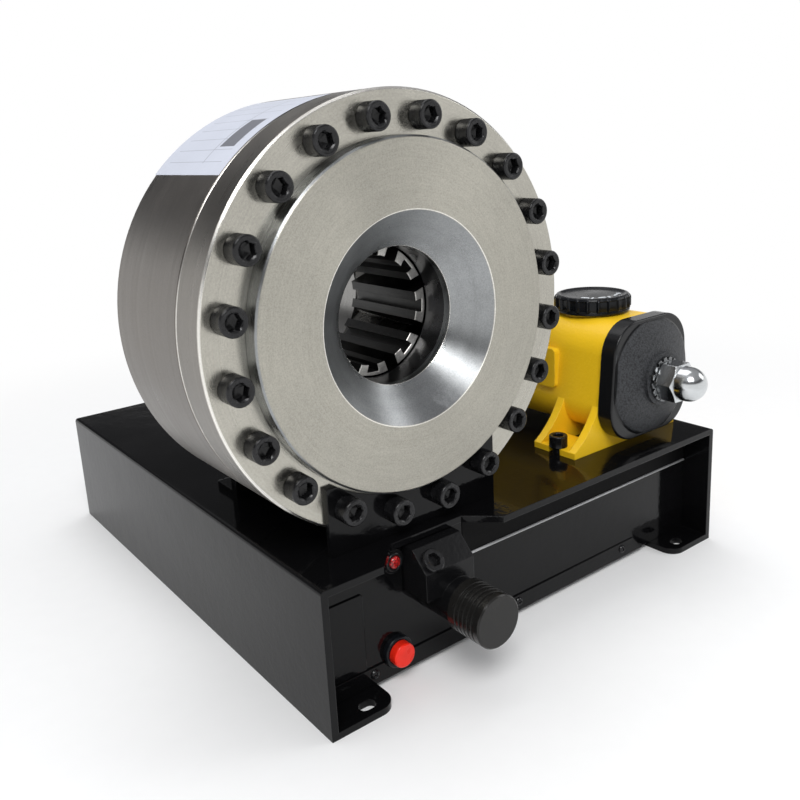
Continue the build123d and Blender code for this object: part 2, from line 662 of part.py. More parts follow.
def adjusting_knob():
    """Round hand knob with gripping grooves behind its flat front face."""
    r = KNOB_D / 2
    points = [(0, KNOB_STANDOFF), (r - 1.0, KNOB_STANDOFF), (r, KNOB_STANDOFF + 1.0)]
    start = KNOB_L - KNOB_FACE_LAND - KNOB_GROOVES * KNOB_GROOVE_PITCH
    for k in range(KNOB_GROOVES):
        z = start + k * KNOB_GROOVE_PITCH
        points += [(r, z), (r - KNOB_GROOVE_DEPTH, z + KNOB_GROOVE_W * 0.3)]
        points += [(r - KNOB_GROOVE_DEPTH, z + KNOB_GROOVE_W * 0.7), (r, z + KNOB_GROOVE_W)]
    points += [(r, KNOB_L - 1.0), (r - 1.0, KNOB_L), (0, KNOB_L)]
    return toward_front(turned(points), KNOB_X, sleeve_front_y(), KNOB_Z)


def valve_spindle():
    """Threaded spindle that the knob turns in the valve."""
    spindle = rod(SPINDLE_D / 2, -KNOB_STANDOFF, SPINDLE_L - 2 * KNOB_STANDOFF)
    return along_y(spindle, KNOB_X, sleeve_front_y(), KNOB_Z)


# ---------------------------------------------------------------- push button
def button_bore_r():
    """Radius of the bore that the push cap slides in."""
    return BUTTON_D / 2 + LOOSE


def button_housing():
    """Button bezel and threaded barrel through the front panel."""
    bezel = rod(BUTTON_BEZEL_D / 2, 0, BUTTON_BEZEL_T)
    bezel = fillet(bezel.edges().filter_by(GeomType.CIRCLE).sort_by(Axis.Z)[-1], BUTTON_BEZEL_T / 3)
    body = bezel + rod(BUTTON_BARREL_D / 2, -BUTTON_BARREL_L, BUTTON_BARREL_L)
    body -= rod(button_bore_r(), -BUTTON_BORE_L, BUTTON_BORE_L + BUTTON_BEZEL_T)
    return toward_front(body, BUTTON_X, PANEL_Y, BUTTON_Z)


def button_nut():
    """Hexagon nut that clamps the button behind the panel."""
    nut = extrude(RegularPolygon(BUTTON_NUT_AF / 2, 6, major_radius=False), BUTTON_NUT_T)
    nut -= rod(BUTTON_BARREL_D / 2 + FIT, 0, BUTTON_NUT_T)
    return along_y(nut, BUTTON_X, PANEL_Y + PANEL_T, BUTTON_Z)


def button_cap():
    """Red push cap: it slides in the barrel and stands proud of the bezel."""
    cap = rod(BUTTON_D / 2, -BUTTON_STEM_L, BUTTON_STEM_L + BUTTON_PROUD)
    cap = fillet(cap.edges().filter_by(GeomType.CIRCLE).sort_by(Axis.Z)[-1], BUTTON_PROUD / 7)
    return toward_front(cap, BUTTON_X, PANEL_Y, BUTTON_Z)


# ---------------------------------------------------------------- hand pump
def tank_section(growth, up):
    """Cross-section of the tank, wider at its foot and grown all round; up is the side of local Y that is up."""
    w0 = TANK_W / 2 + growth
    w1 = TANK_TOP_W / 2 + growth
    h = TANK_HEIGHT / 2 + growth
    outline = Polyline((-w0, -h * up), (w0, -h * up), (w1, h * up), (-w1, h * up), close=True)
    return fillet(make_face(outline).vertices(), TANK_CORNER_R + growth)


def on_tank(shape, y):
    """Place a shape whose local +Z runs back along the tank, on the tank's axis."""
    return along_y(shape, TANK_X, y, TANK_Z)


def tank_bolt_places():
    """Foot bolts along the left side of the tank: one between each pair of ribs."""
    x = TANK_X - TANK_W / 2 - RIB_SPREAD + FOOT_BOLT_INSET
    front = TANK_FRONT_Y + RIB_T + (RIB_PITCH - RIB_T) / 2
    rear = TANK_FRONT_Y + TANK_L - RIB_T - (RIB_PITCH - RIB_T) / 2
    return [(x, front), (x, rear)]


def tank_rib(y):
    """Upright web under the tank: flared to the left foot with a hollow curve."""
    left = TANK_X - TANK_W / 2
    right = TANK_X + TANK_W / 2 + RIB_RIGHT_SPREAD
    top = TANK_Z - RIB_CREST_DROP
    with BuildSketch() as sketch:
        with BuildLine():
            foot = (left - RIB_SPREAD, BASE_H)
            crest = (left + RIB_CREST_INSET, top)
            heel_z = BASE_H + PAD_T
            heel = (left - RIB_SPREAD, heel_z)
            Polyline(foot, (right, BASE_H), (right, heel_z), (TANK_X + TANK_W / 2 - RIB_CREST_INSET, top), crest)
            ThreePointArc(crest, (left - RIB_SPREAD * RIB_MID_OUT, BASE_H + (top - BASE_H) * RIB_MID_UP), heel)
            Line(heel, foot)
        make_face()
    return Pos(0, y + RIB_T, 0) * Rot(90, 0, 0) * extrude(sketch.sketch, RIB_T)


def foot_pad(y0):
    """Pad between two ribs with an open notch for the bolt."""
    left = TANK_X - TANK_W / 2
    x, _ = tank_bolt_places()[0]
    y_bolt = y0 + RIB_T + (RIB_PITCH - RIB_T) / 2
    pad = block(left - RIB_SPREAD, left + 6.0, y0 + RIB_T, y0 + RIB_PITCH, BASE_H, BASE_H + PAD_T)
    pad -= Pos(x, y_bolt, BASE_H) * rod(FOOT_SLOT_W / 2, 0, PAD_T)
    pad -= block(left - RIB_SPREAD, x, y_bolt - FOOT_SLOT_W / 2, y_bolt + FOOT_SLOT_W / 2, BASE_H, BASE_H + PAD_T)
    return pad


def tank_shell():
    """Cast oil tank: open tube with a filler boss, foot ribs and pads."""
    outer = extrude(tank_section(0, -1), TANK_L)
    inner = extrude(tank_section(-TANK_WALL, -1), TANK_L)
    tank = on_tank(outer, TANK_FRONT_Y)
    rear = TANK_FRONT_Y + TANK_L
    for y in (TANK_FRONT_Y, TANK_FRONT_Y + RIB_PITCH, rear - RIB_PITCH - RIB_T, rear - RIB_T):
        tank += tank_rib(y)
    tank += foot_pad(TANK_FRONT_Y) + foot_pad(rear - RIB_PITCH - RIB_T)
    side_pad = Pos(TANK_X - TANK_W / 2 + 4.0, FILLER_Y + 8.0, TANK_Z + 5.0) * Box(9.0, 20.0, 34.0)
    tank += fillet(side_pad.edges().filter_by(Axis.X), 4.0)
    top = TANK_Z + TANK_HEIGHT / 2
    tank += Pos(TANK_X, FILLER_Y, top - TANK_WALL) * rod(FILLER_NECK_D / 2 + 4.0, 0, TANK_WALL + 1.0)
    tank -= on_tank(inner, TANK_FRONT_Y)
    tank -= Pos(TANK_X, FILLER_Y, top - TANK_WALL - 2.0) * rod(FILLER_NECK_D / 2, 0, TANK_WALL + 6.0)
    return tank


def filler_neck():
    """Threaded neck pressed into the tank's top."""
    top = TANK_Z + TANK_HEIGHT / 2
    neck = tube(FILLER_NECK_D / 2 - FIT, FILLER_NECK_D / 2 - FILLER_NECK_WALL, -TANK_WALL + 1.0,
                TANK_WALL + FILLER_NECK_H)
    return Pos(TANK_X, FILLER_Y, top) * neck


def filler_cap():
    """Ribbed screw cap with a dished top and raised marks."""
    bottom = TANK_Z + TANK_HEIGHT / 2 + 1.0 + LOOSE
    r = FILLER_CAP_D / 2
    cap = turned([(0, FILLER_CAP_H - 2.0), (r - 8.0, FILLER_CAP_H - 2.0), (r - 6.5, FILLER_CAP_H),
                  (r - 3.0, FILLER_CAP_H), (r - 1.5, FILLER_CAP_H - 1.5), (r - 1.5, 0),
                  (FILLER_NECK_D / 2 + LOOSE, 0), (FILLER_NECK_D / 2 + LOOSE, FILLER_NECK_H), (0, FILLER_NECK_H)])
    rib = Pos(r - 1.8, 0, (FILLER_CAP_H - 1.0) / 2) * Box(3.6, 4.0, FILLER_CAP_H - 1.0)
    rib = chamfer(rib.edges().group_by(Axis.X)[-1], 0.7)
    for k in range(FILLER_RIBS):
        cap += Rot(0, 0, 360.0 * k / FILLER_RIBS) * rib
    return Pos(TANK_X, FILLER_Y, bottom) * cap


def tank_end_cap():
    """Front closure: thick rounded plate with a domed face and a round boss for the nut."""
    plate = extrude(tank_section(END_CAP_OVERHANG, 1), END_CAP_T)
    plate = fillet(plate.edges().group_by(Axis.Z)[-1], END_CAP_FIELD_INSET / 2)
    rise = END_CAP_DOME - END_CAP_BOSS_STEP
    half = TANK_W / 2 + END_CAP_OVERHANG - END_CAP_FIELD_INSET
    ball_r = (half * half + rise * rise) / (2 * rise)
    field = extrude(tank_section(END_CAP_OVERHANG - END_CAP_FIELD_INSET, 1), END_CAP_T + END_CAP_DOME)
    field &= Pos(0, 0, END_CAP_T + rise - ball_r) * Sphere(ball_r)
    plate += field + rod(END_CAP_BOSS_D / 2, END_CAP_T, END_CAP_DOME)
    plate -= rod(TIE_ROD_D / 2 + FIT, 0, END_CAP_T + END_CAP_DOME)
    return toward_front(plate, TANK_X, TANK_FRONT_Y - GASKET_T, TANK_Z)


def cap_gasket():
    """Flat gasket between the tank and its front closure."""
    gasket = extrude(tank_section(0, 1) - tank_section(-TANK_WALL, 1), GASKET_T)
    return toward_front(gasket, TANK_X, TANK_FRONT_Y, TANK_Z)


def cap_face_y():
    """Outer face of the front closure's boss."""
    return TANK_FRONT_Y - GASKET_T - END_CAP_T - END_CAP_DOME


def tie_rod():
    """Rod through the tank that pulls the front closure towards the pump head."""
    front = cap_face_y() - TIE_WASHER_T - NUT_HEX_L
    return along_y(rod(TIE_ROD_D / 2, 0, pump_head_front() - front + TIE_ROD_GRIP), TANK_X, front, TANK_Z)


def tie_washer():
    """Flat washer under the acorn nut."""
    return toward_front(tube(TIE_WASHER_D / 2, TIE_ROD_D / 2 + FIT, 0, TIE_WASHER_T), TANK_X, cap_face_y(), TANK_Z)


def acorn_nut():
    """Domed cap nut."""
    across = NUT_AF / math.cos(math.radians(30)) / 2
    hexagon = extrude(RegularPolygon(across, 6), NUT_HEX_L)
    cut = turned([(0, 0), (NUT_AF / 2 - 0.5, 0), (across + 1.0, 1.6), (across + 1.0, NUT_HEX_L - 1.6),
                  (NUT_AF / 2 - 0.5, NUT_HEX_L), (0, NUT_HEX_L)])
    r = NUT_DOME_D / 2
    dome = rod(r, NUT_HEX_L, 5.0) + Pos(0, 0, NUT_HEX_L + 5.0) * (Sphere(r) & rod(r, 0, r))
    nut = (hexagon & cut) + dome - rod(TIE_ROD_D / 2 + FIT, 0, NUT_HEX_L)
    return toward_front(nut, TANK_X, cap_face_y() - TIE_WASHER_T, TANK_Z)


def tank_bolts():
    """Cap screws that hold the tank's feet to the base."""
    bolt = Rot(180, 0, 0) * socket_screw(FOOT_BOLT_D, PAD_T + BASE_SHEET + 6.0)
    return Compound(children=[Pos(x, y, BASE_H + PAD_T) * bolt for x, y in tank_bolt_places()])


def pump_head_front():
    """Front face of the pump head, against the tank's rear edge."""
    return TANK_FRONT_Y + TANK_L


def plunger_y():
    """Plunger axis along Y."""
    return pump_head_front() + PUMP_HEAD_L * 0.45


def lever_pin_place():
    """Lever pivot: (y, z)."""
    return plunger_y() + LEVER_ARM, PUMP_HEAD_TOP + LEVER_PIN_RISE


def pump_head_bolt_places():
    """Bolts through the pump head's foot flanges."""
    y = pump_head_front() + PUMP_HEAD_L / 2
    x = PUMP_HEAD_W / 2 + 9.0
    return [(TANK_X - x, y), (TANK_X + x, y)]


def pump_head():
    """Pump head block with foot flanges, the plunger bore and the lever lugs."""
    y0 = pump_head_front()
    half = PUMP_HEAD_W / 2
    head = block(TANK_X - half, TANK_X + half, y0, y0 + PUMP_HEAD_L, BASE_H, PUMP_HEAD_TOP)
    head = chamfer(head.edges().filter_by(Axis.Y).group_by(Axis.Z)[-1], 8.0)
    closure = on_tank(extrude(tank_section(0, -1), 8.0), y0)
    flange_half = half + 18.0
    feet = block(TANK_X - flange_half, TANK_X + flange_half, y0 + 14.0, y0 + PUMP_HEAD_L - 8.0,
                 BASE_H, BASE_H + 10.0)
    head += closure + feet
    pin_y, pin_z = lever_pin_place()
    lug_x = LEVER_W / 2 + LUG_GAP
    for side in (-1, 1):
        x_in = TANK_X + side * lug_x
        x_out = TANK_X + side * (lug_x + LUG_T)
        lug = block(min(x_in, x_out), max(x_in, x_out), pin_y - 13.0, pin_y + 13.0, PUMP_HEAD_TOP - 50.0, pin_z)
        eye = Pos((x_in + x_out) / 2, pin_y, pin_z) * Rot(0, 90, 0) * Cylinder(13.0, LUG_T)
        head += lug + eye
    head -= Pos(TANK_X, pin_y, pin_z) * Rot(0, 90, 0) * Cylinder(LEVER_PIN_D / 2, PUMP_HEAD_W)
    head -= Pos(TANK_X, plunger_y(), 0) * rod(PLUNGER_D / 2 + PLUNGER_FIT, PUMP_HEAD_TOP - 60.0, 60.0)
    head -= on_tank(rod(TIE_ROD_D / 2 + FIT, 0, TIE_ROD_GRIP), y0)
    head -= Pos(TANK_X - half, plunger_y(), pipe_z()) * Rot(0, 90, 0) * rod(PIPE_D / 2 - 2.0, 0, 12.0)
    for x, y in pump_head_bolt_places():
        head -= Pos(x, y, BASE_H) * rod(FOOT_BOLT_D / 2, 0, 10.0)
    return head


def pump_head_bolts():
    """Cap screws of the pump head's feet."""
    bolt = Rot(180, 0, 0) * socket_screw(FOOT_BOLT_D, 10.0 + BASE_SHEET + 6.0)
    return Compound(children=[Pos(x, y, BASE_H + 10.0) * bolt for x, y in pump_head_bolt_places()])


def plunger_gland():
    """Hexagon gland nut around the plunger."""
    nut = extrude(RegularPolygon(19.0, 6), 8.0) - rod(PLUNGER_D / 2 + LOOSE, 0, 8.0)
    return Pos(TANK_X, plunger_y(), PUMP_HEAD_TOP) * nut


def pump_plunger():
    """Pump plunger with a domed top under the lever."""
    plunger = rod(PLUNGER_D / 2, -34.0, 34.0 + PLUNGER_PROUD)
    plunger = fillet(plunger.edges().filter_by(GeomType.CIRCLE).sort_by(Axis.Z)[-1], 3.0)
    return Pos(TANK_X, plunger_y(), PUMP_HEAD_TOP) * plunger


def pump_lever():
    """Lever: a nose over the plunger, the pivot eye and a tilted socket for the pump bar."""
    pin_y, pin_z = lever_pin_place()
    nose_r = 8.0
    nose_z = PUMP_HEAD_TOP + PLUNGER_PROUD + LOOSE + nose_r - pin_z
    with BuildSketch() as sketch:
        with Locations((0, 0)):
            Circle(14.0)
        with Locations((-LEVER_ARM, nose_z)):
            Circle(nose_r)
        with BuildLine():
            Polyline((-LEVER_ARM, nose_z - nose_r), (-LEVER_ARM + PLUNGER_D / 2 + NOSE_CLEAR, nose_z - nose_r + NOSE_CLEAR),
                     (0, -10.0), (0, 14.0), (-LEVER_ARM, nose_z + nose_r), close=True)
        make_face()
    arm = extrude(Plane.YZ * sketch.sketch, LEVER_W / 2, both=True)
    socket = rod(LEVER_SOCKET_D / 2, LEVER_SOCKET_START, LEVER_SOCKET_L)
    socket -= rod(LEVER_SOCKET_BORE / 2, LEVER_SOCKET_START + 12.0, LEVER_SOCKET_L)
    stub = block(-LEVER_W / 2, LEVER_W / 2, -11.0, 11.0, 0, LEVER_SOCKET_START)
    arm += Rot(-(90 - LEVER_TILT), 0, 0) * (stub + socket)
    arm -= Rot(0, 90, 0) * Cylinder(LEVER_PIN_D / 2 + FIT, LEVER_W + 20.0)
    return Pos(TANK_X, pin_y, pin_z) * arm


def lever_pin():
    """Pivot pin through the lugs."""
    pin_y, pin_z = lever_pin_place()
    length = LEVER_W + 2 * (LUG_GAP + LUG_T)
    return Pos(TANK_X, pin_y, pin_z) * Rot(0, 90, 0) * Cylinder(LEVER_PIN_D / 2, length)


# ---------------------------------------------------------------- oil pipe
def pipe_port():
    """Oil port in the head's rear face, in local head coordinates."""
    r = (BORE_D / 2 + RING_D / 2) / 2
    return r * math.cos(math.radians(PIPE_ANGLE)), r * math.sin(math.radians(PIPE_ANGLE))


def pipe_z():
    """Height of the oil pipe."""
    return HEAD_Z - pipe_port()[1]


def oil_pipe():
    """Steel pipe from the pump head to the cylinder, one bend."""
    x0 = HEAD_X + pipe_port()[0]
    y0 = RING_Y + BODY_BACK
    x1 = TANK_X - PUMP_HEAD_W / 2
    y1 = plunger_y()
    z = pipe_z()
    path = FilletPolyline((x0, y0, z), (x0, y1, z), (x1, y1, z), radius=PIPE_BEND_R)
    return sweep(Plane(origin=(x0, y0, z), z_dir=(0, 1, 0)) * Circle(PIPE_D / 2), path=path)


def pipe_nuts():
    """Union nuts at both ends of the oil pipe."""
    across = PIPE_NUT_AF / math.cos(math.radians(30)) / 2
    nut = extrude(RegularPolygon(across, 6), PIPE_NUT_L) - rod(PIPE_D / 2 + FIT, 0, PIPE_NUT_L)
    z = pipe_z()
    at_head = along_y(nut, HEAD_X + pipe_port()[0], RING_Y + BODY_BACK, z)
    at_pump = Pos(TANK_X - PUMP_HEAD_W / 2, plunger_y(), z) * Rot(0, -90, 0) * nut
    return Compound(children=[at_head, at_pump])


def main():
    """Write every node."""
    os.makedirs("parts", exist_ok=True)
    makers = [
        base_housing, front_panel, rear_panel, front_lip, access_cover, panel_screws, head_bracket,
        rear_support, support_bolts, ring_flange, ring_bolts, front_cone, cylinder_body, flange_seal, piston,
        piston_seal, stem_seal, gland_ring, gland_bolts, valve_block, port_plug, sight_lens, lens_bezel,
        adjusting_knob, valve_spindle, button_housing, button_nut, button_cap, tank_shell, filler_neck,
        filler_cap, tank_end_cap, cap_gasket, tie_rod, tie_washer, acorn_nut, tank_bolts, pump_head,
        pump_head_bolts, plunger_gland, pump_plunger, pump_lever, lever_pin, oil_pipe, pipe_nuts]
    for maker in makers:
        write(maker(), maker.__name__)
    for index in range(DIE_COUNT):
        write(die(index), f"die_{index + 1}")


main()
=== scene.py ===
import bpy
import json
import math
from mathutils import Matrix, Vector


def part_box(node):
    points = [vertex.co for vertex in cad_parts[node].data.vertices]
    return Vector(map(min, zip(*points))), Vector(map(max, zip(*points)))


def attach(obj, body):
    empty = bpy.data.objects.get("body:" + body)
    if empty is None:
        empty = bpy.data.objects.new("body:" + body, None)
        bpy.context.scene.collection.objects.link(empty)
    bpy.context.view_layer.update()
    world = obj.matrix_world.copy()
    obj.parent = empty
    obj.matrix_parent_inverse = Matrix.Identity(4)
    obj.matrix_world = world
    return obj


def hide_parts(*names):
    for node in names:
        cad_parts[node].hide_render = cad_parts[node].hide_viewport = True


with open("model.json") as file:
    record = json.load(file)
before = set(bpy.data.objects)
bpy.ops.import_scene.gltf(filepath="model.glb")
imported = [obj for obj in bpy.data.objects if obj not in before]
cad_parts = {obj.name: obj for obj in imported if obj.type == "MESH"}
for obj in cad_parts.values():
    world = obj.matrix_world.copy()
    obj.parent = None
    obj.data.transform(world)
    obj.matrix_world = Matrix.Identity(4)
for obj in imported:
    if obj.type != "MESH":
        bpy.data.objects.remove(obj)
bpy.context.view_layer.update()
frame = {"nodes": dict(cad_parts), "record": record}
RECORD = frame["record"]
NODES = frame["nodes"]

# ---------------------------------------------------------------- places read from the frame
RING_LOW, RING_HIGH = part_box("ring_flange")
BODY_LOW, BODY_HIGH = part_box("cylinder_body")
HEAD_X = (RING_LOW[0] + RING_HIGH[0]) / 2
HEAD_Z = (RING_LOW[2] + RING_HIGH[2]) / 2
RING_R = (RING_HIGH[0] - RING_LOW[0]) / 2
RING_FRONT = RING_LOW[1]
BODY_R = (BODY_HIGH[0] - BODY_LOW[0]) / 2
CONE_LOW, CONE_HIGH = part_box("front_cone")
DISC_R = (CONE_HIGH[0] - CONE_LOW[0]) / 2
DISC_FRONT = CONE_LOW[1]
TANK_LOW, TANK_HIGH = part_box("tank_shell")
FUNNEL_R = 0.070
FUNNEL_DEPTH = 0.020
THROAT_R = 0.046
THROAT_LAND = 0.006
THROAT_FRONT = DISC_FRONT + FUNNEL_DEPTH
THROAT_BACK = THROAT_FRONT + THROAT_LAND
DIE_COUNT = 8
DIE_FACE = -0.1605

# ---------------------------------------------------------------- camera
CAMERA_PLACE = (-0.43167, -0.62406, 0.36273)
CAMERA_RIGHT = (0.792905, -0.607020, -0.053189)
CAMERA_DOWN = (-0.190415, -0.163912, -0.967923)
LENS_MM = 38.25
SENSOR_MM = 36.0
SHIFT = (0.0079, -0.0589)


def make_camera():
    """The camera at the photograph's place and angle."""
    data = bpy.data.cameras.new("camera")
    data.lens = LENS_MM
    data.sensor_width = SENSOR_MM
    data.shift_x, data.shift_y = SHIFT
    data.clip_start = 0.01
    data.clip_end = 60.0
    cam = bpy.data.objects.new("camera", data)
    bpy.context.scene.collection.objects.link(cam)
    right = Vector(CAMERA_RIGHT).normalized()
    up = -Vector(CAMERA_DOWN)
    back = right.cross(up).normalized()
    up = back.cross(right).normalized()
    m = Matrix((right, up, back)).transposed().to_4x4()
    m.translation = Vector(CAMERA_PLACE)
    cam.matrix_world = m
    bpy.context.scene.camera = cam


make_camera()


# ---------------------------------------------------------------- node graphs
class Graph:
    """A small helper that builds a node material."""

    def __init__(self, name):
        self.mat = bpy.data.materials.new(name)
        self.mat.use_nodes = True
        self.nodes = self.mat.node_tree.nodes
        self.links = self.mat.node_tree.links
        self.bsdf = self.nodes["Principled BSDF"]
        self._pos = None

    def put(self, socket, value):
        """Links or sets one input."""
        if isinstance(value, bpy.types.NodeSocket):
            self.links.new(value, socket)
        else:
            socket.default_value = value

    def add(self, kind, inputs=None, **attrs):
        """Adds a node, sets its attributes, then its inputs by name or index."""
        node = self.nodes.new(kind)
        for key, value in attrs.items():
            setattr(node, key, value)
        for key, value in (inputs or {}).items():
            self.put(node.inputs[key], value)
        return node

    def math(self, op, a, b=0.0, c=0.0, clamp=False):
        return self.add("ShaderNodeMath", {0: a, 1: b, 2: c}, operation=op, use_clamp=clamp).outputs[0]

    def place(self):
        """Object coordinates, in metres of the part frame."""
        if self._pos is None:
            self._pos = self.add("ShaderNodeTexCoord").outputs["Object"]
        return self._pos

    def xyz(self, vector=None):
        return self.add("ShaderNodeSeparateXYZ", {0: vector or self.place()}).outputs

    def vec(self, x, y, z):
        return self.add("ShaderNodeCombineXYZ", {0: x, 1: y, 2: z}).outputs[0]

    def noise(self, vector, scale, detail=2.0, rough=0.5, distort=0.0):
        return self.add("ShaderNodeTexNoise", {"Vector": vector, "Scale": scale, "Detail": detail,
                                               "Roughness": rough, "Distortion": distort}).outputs["Fac"]

    def noise1(self, w, scale, detail=2.0, rough=0.6):
        return self.add("ShaderNodeTexNoise", {"W": w, "Scale": scale, "Detail": detail, "Roughness": rough},
                        noise_dimensions="1D").outputs["Fac"]

    def cells(self, vector, scale, feature="F1", output="Distance", randomness=1.0):
        return self.add("ShaderNodeTexVoronoi", {"Vector": vector, "Scale": scale, "Randomness": randomness},
                        feature=feature).outputs[output]

    def span(self, value, lo, hi, out_lo=0.0, out_hi=1.0, smooth=False):
        """Maps a value from one range to another, clamped."""
        node = self.add("ShaderNodeMapRange", {"Value": value, "From Min": lo, "From Max": hi,
                                               "To Min": out_lo, "To Max": out_hi})
        if smooth:
            node.interpolation_type = "SMOOTHSTEP"
        return node.outputs[0]

    def mix(self, fac, a, b, blend="MIX"):
        node = self.add("ShaderNodeMix", data_type="RGBA", blend_type=blend)
        self.put(node.inputs[0], fac)
        self.put(node.inputs[6], (*a, 1.0) if isinstance(a, tuple) else a)
        self.put(node.inputs[7], (*b, 1.0) if isinstance(b, tuple) else b)
        return node.outputs[2]

    def shade(self, colour, amount):
        """Multiplies a colour by a number."""
        grey = self.add("ShaderNodeCombineColor", {0: amount, 1: amount, 2: amount}).outputs[0]
        return self.mix(1.0, colour, grey, "MULTIPLY")

    def bump(self, height, distance, strength=1.0, normal=None):
        inputs = {"Height": height, "Distance": distance, "Strength": strength}
        if normal is not None:
            inputs["Normal"] = normal
        return self.add("ShaderNodeBump", inputs).outputs[0]

    def edge_normal(self, radius):
        return self.add("ShaderNodeBevel", {"Radius": radius}, samples=4).outputs[0]

    def set(self, **values):
        """Sets the shader's inputs: underscores stand for spaces."""
        for key, value in values.items():
            if key.endswith("Color") and isinstance(value, tuple):
                value = (*value, 1.0)
            self.put(self.bsdf.inputs[key.replace("_", " ")], value)
        return self.mat


def head_polar(g):
    """Radius, angle, depth and around-direction about the crimping axis."""
    x, y, z = g.xyz()
    dx = g.math("SUBTRACT", x, HEAD_X)
    dz = g.math("SUBTRACT", z, HEAD_Z)
    r = g.math("SQRT", g.math("ADD", g.math("MULTIPLY", dx, dx), g.math("MULTIPLY", dz, dz)))
    return r, g.math("ARCTAN2", dz, dx), y, g.vec(g.math("MULTIPLY", dz, -1.0), 0.0, dx)


def turned_steel(name, face, side, front, outer, hole=None, face_rough=0.34, side_rough=0.34, hole_rough=0.24,
                 aniso=0.55, grain_depth=0.00003, marks=0.5, edges=(), speckles=0.12):
    """Turned steel about the crimping axis. The flat face, the outer wall and the funnel each have their own
    tone and finish; fine turning lines, grain, soft stains and handling marks lie over all, and pale lines at
    the given edges are partly rubbed wear and partly painted edge highlight."""
    g = Graph(name)
    r, a, y, around = head_polar(g)
    on_face = g.span(y, front + 0.0003, front + 0.0005, 1.0, 0.0)
    on_wall = g.span(r, outer - 0.0012, outer - 0.0008)
    across = g.math("ADD", r, g.math("MULTIPLY", y, 1.37))
    lines = g.noise1(across, 1500.0, 3.0, 0.75)
    bands = g.noise1(across, 140.0, 2.0, 0.6)
    grain = g.noise(g.place(), 1100.0, 2.0, 0.65)
    fine = g.noise(g.place(), 3300.0, 1.0, 0.5)
    stains = g.noise(g.place(), 16.0, 4.0, 0.6)
    arcs = g.noise(g.vec(g.math("MULTIPLY", g.math("COSINE", a), 3.0),
                         g.math("MULTIPLY", g.math("SINE", a), 3.0),
                         g.math("MULTIPLY", across, 420.0)), 2.0, 3.0, 0.65)
    scratch = g.add("ShaderNodeTexWave",
                    {"Vector": g.place(), "Scale": 210.0, "Distortion": 26.0, "Detail": 3.0, "Detail Scale": 1.3},
                    wave_type="BANDS", bands_direction="DIAGONAL").outputs["Fac"]
    scratch = g.math("MULTIPLY", g.span(scratch, 0.985, 1.0),
                     g.span(g.noise(g.place(), 30.0, 2.0, 0.5), 0.55, 0.70))
    pits = g.span(g.cells(g.place(), 95.0), 0.0, 0.035, 0.45, 1.0)
    colour = g.mix(on_face, side, face)
    rough = g.span(on_face, 0.0, 1.0, side_rough, face_rough)
    if hole:
        in_hole = g.math("MULTIPLY", g.math("SUBTRACT", 1.0, on_face), g.math("SUBTRACT", 1.0, on_wall))
        colour = g.mix(in_hole, colour, hole)
        rough = g.math("ADD", g.math("MULTIPLY", rough, g.math("SUBTRACT", 1.0, in_hole)),
                       g.math("MULTIPLY", in_hole, hole_rough))
    speckle = g.span(g.math("ADD", g.math("MULTIPLY", grain, 0.6), g.math("MULTIPLY", fine, 0.4)),
                     0.3, 0.7, -speckles, speckles)
    tone = g.math("ADD", g.span(stains, 0.3, 0.7, 0.90, 1.07), g.span(lines, 0.25, 0.75, -0.05, 0.05))
    tone = g.math("ADD", tone, g.span(arcs, 0.3, 0.7, -0.05, 0.05))
    tone = g.math("ADD", tone, speckle)
    tone = g.math("ADD", tone, g.math("MULTIPLY", scratch, 0.22 * marks))
    tone = g.math("MULTIPLY", tone, pits)
    rough = g.math("ADD", rough, g.span(bands, 0.3, 0.7, -0.03, 0.04))
    rough = g.math("ADD", rough, g.span(stains, 0.3, 0.7, -0.04, 0.05))
    # Pale lines along the given edges: partly rubbed wear, partly painted edge highlight.
    for edge_r, edge_y, width in edges:
        off = g.math("MAXIMUM", g.math("ABSOLUTE", g.math("SUBTRACT", r, edge_r)),
                     g.math("ABSOLUTE", g.math("SUBTRACT", y, edge_y)))
        rubbed_and_highlight = g.span(g.math("ADD", off, g.span(stains, 0.3, 0.7, width * -0.12, width * 0.12)),
                        width, width * 0.6)
        colour = g.mix(rubbed_and_highlight, colour, (0.88, 0.86, 0.81))
    height = g.math("ADD", g.math("MULTIPLY", lines, 0.5), g.math("MULTIPLY", grain, 0.9))
    height = g.math("SUBTRACT", height, g.math("MULTIPLY", scratch, 0.8))
    normal = g.bump(height, grain_depth, 1.0, g.edge_normal(0.0007))
    return g.set(Base_Color=g.shade(colour, tone), Metallic=1.0, Roughness=rough, Normal=normal,
                 Anisotropic=aniso, Anisotropic_Rotation=0.25, Tangent=around)


def plain_steel(name, colour, rough, grain_scale=1800.0, edge=0.0005, depth=0.00001, patches=0.08):
    """Ground or plated steel with fine grain."""
    g = Graph(name)
    grain = g.noise(g.place(), grain_scale, 2.0, 0.6)
    soft = g.noise(g.place(), 60.0, 3.0, 0.6)
    tone = g.math("ADD", g.span(grain, 0.3, 0.7, 0.93, 1.07), g.span(soft, 0.3, 0.7, -patches, patches * 0.7))
    return g.set(Base_Color=g.shade(colour, tone), Metallic=1.0,
                 Roughness=g.span(soft, 0.3, 0.7, rough - 0.04, rough + 0.06),
                 Normal=g.bump(grain, depth, 1.0, g.edge_normal(edge)))


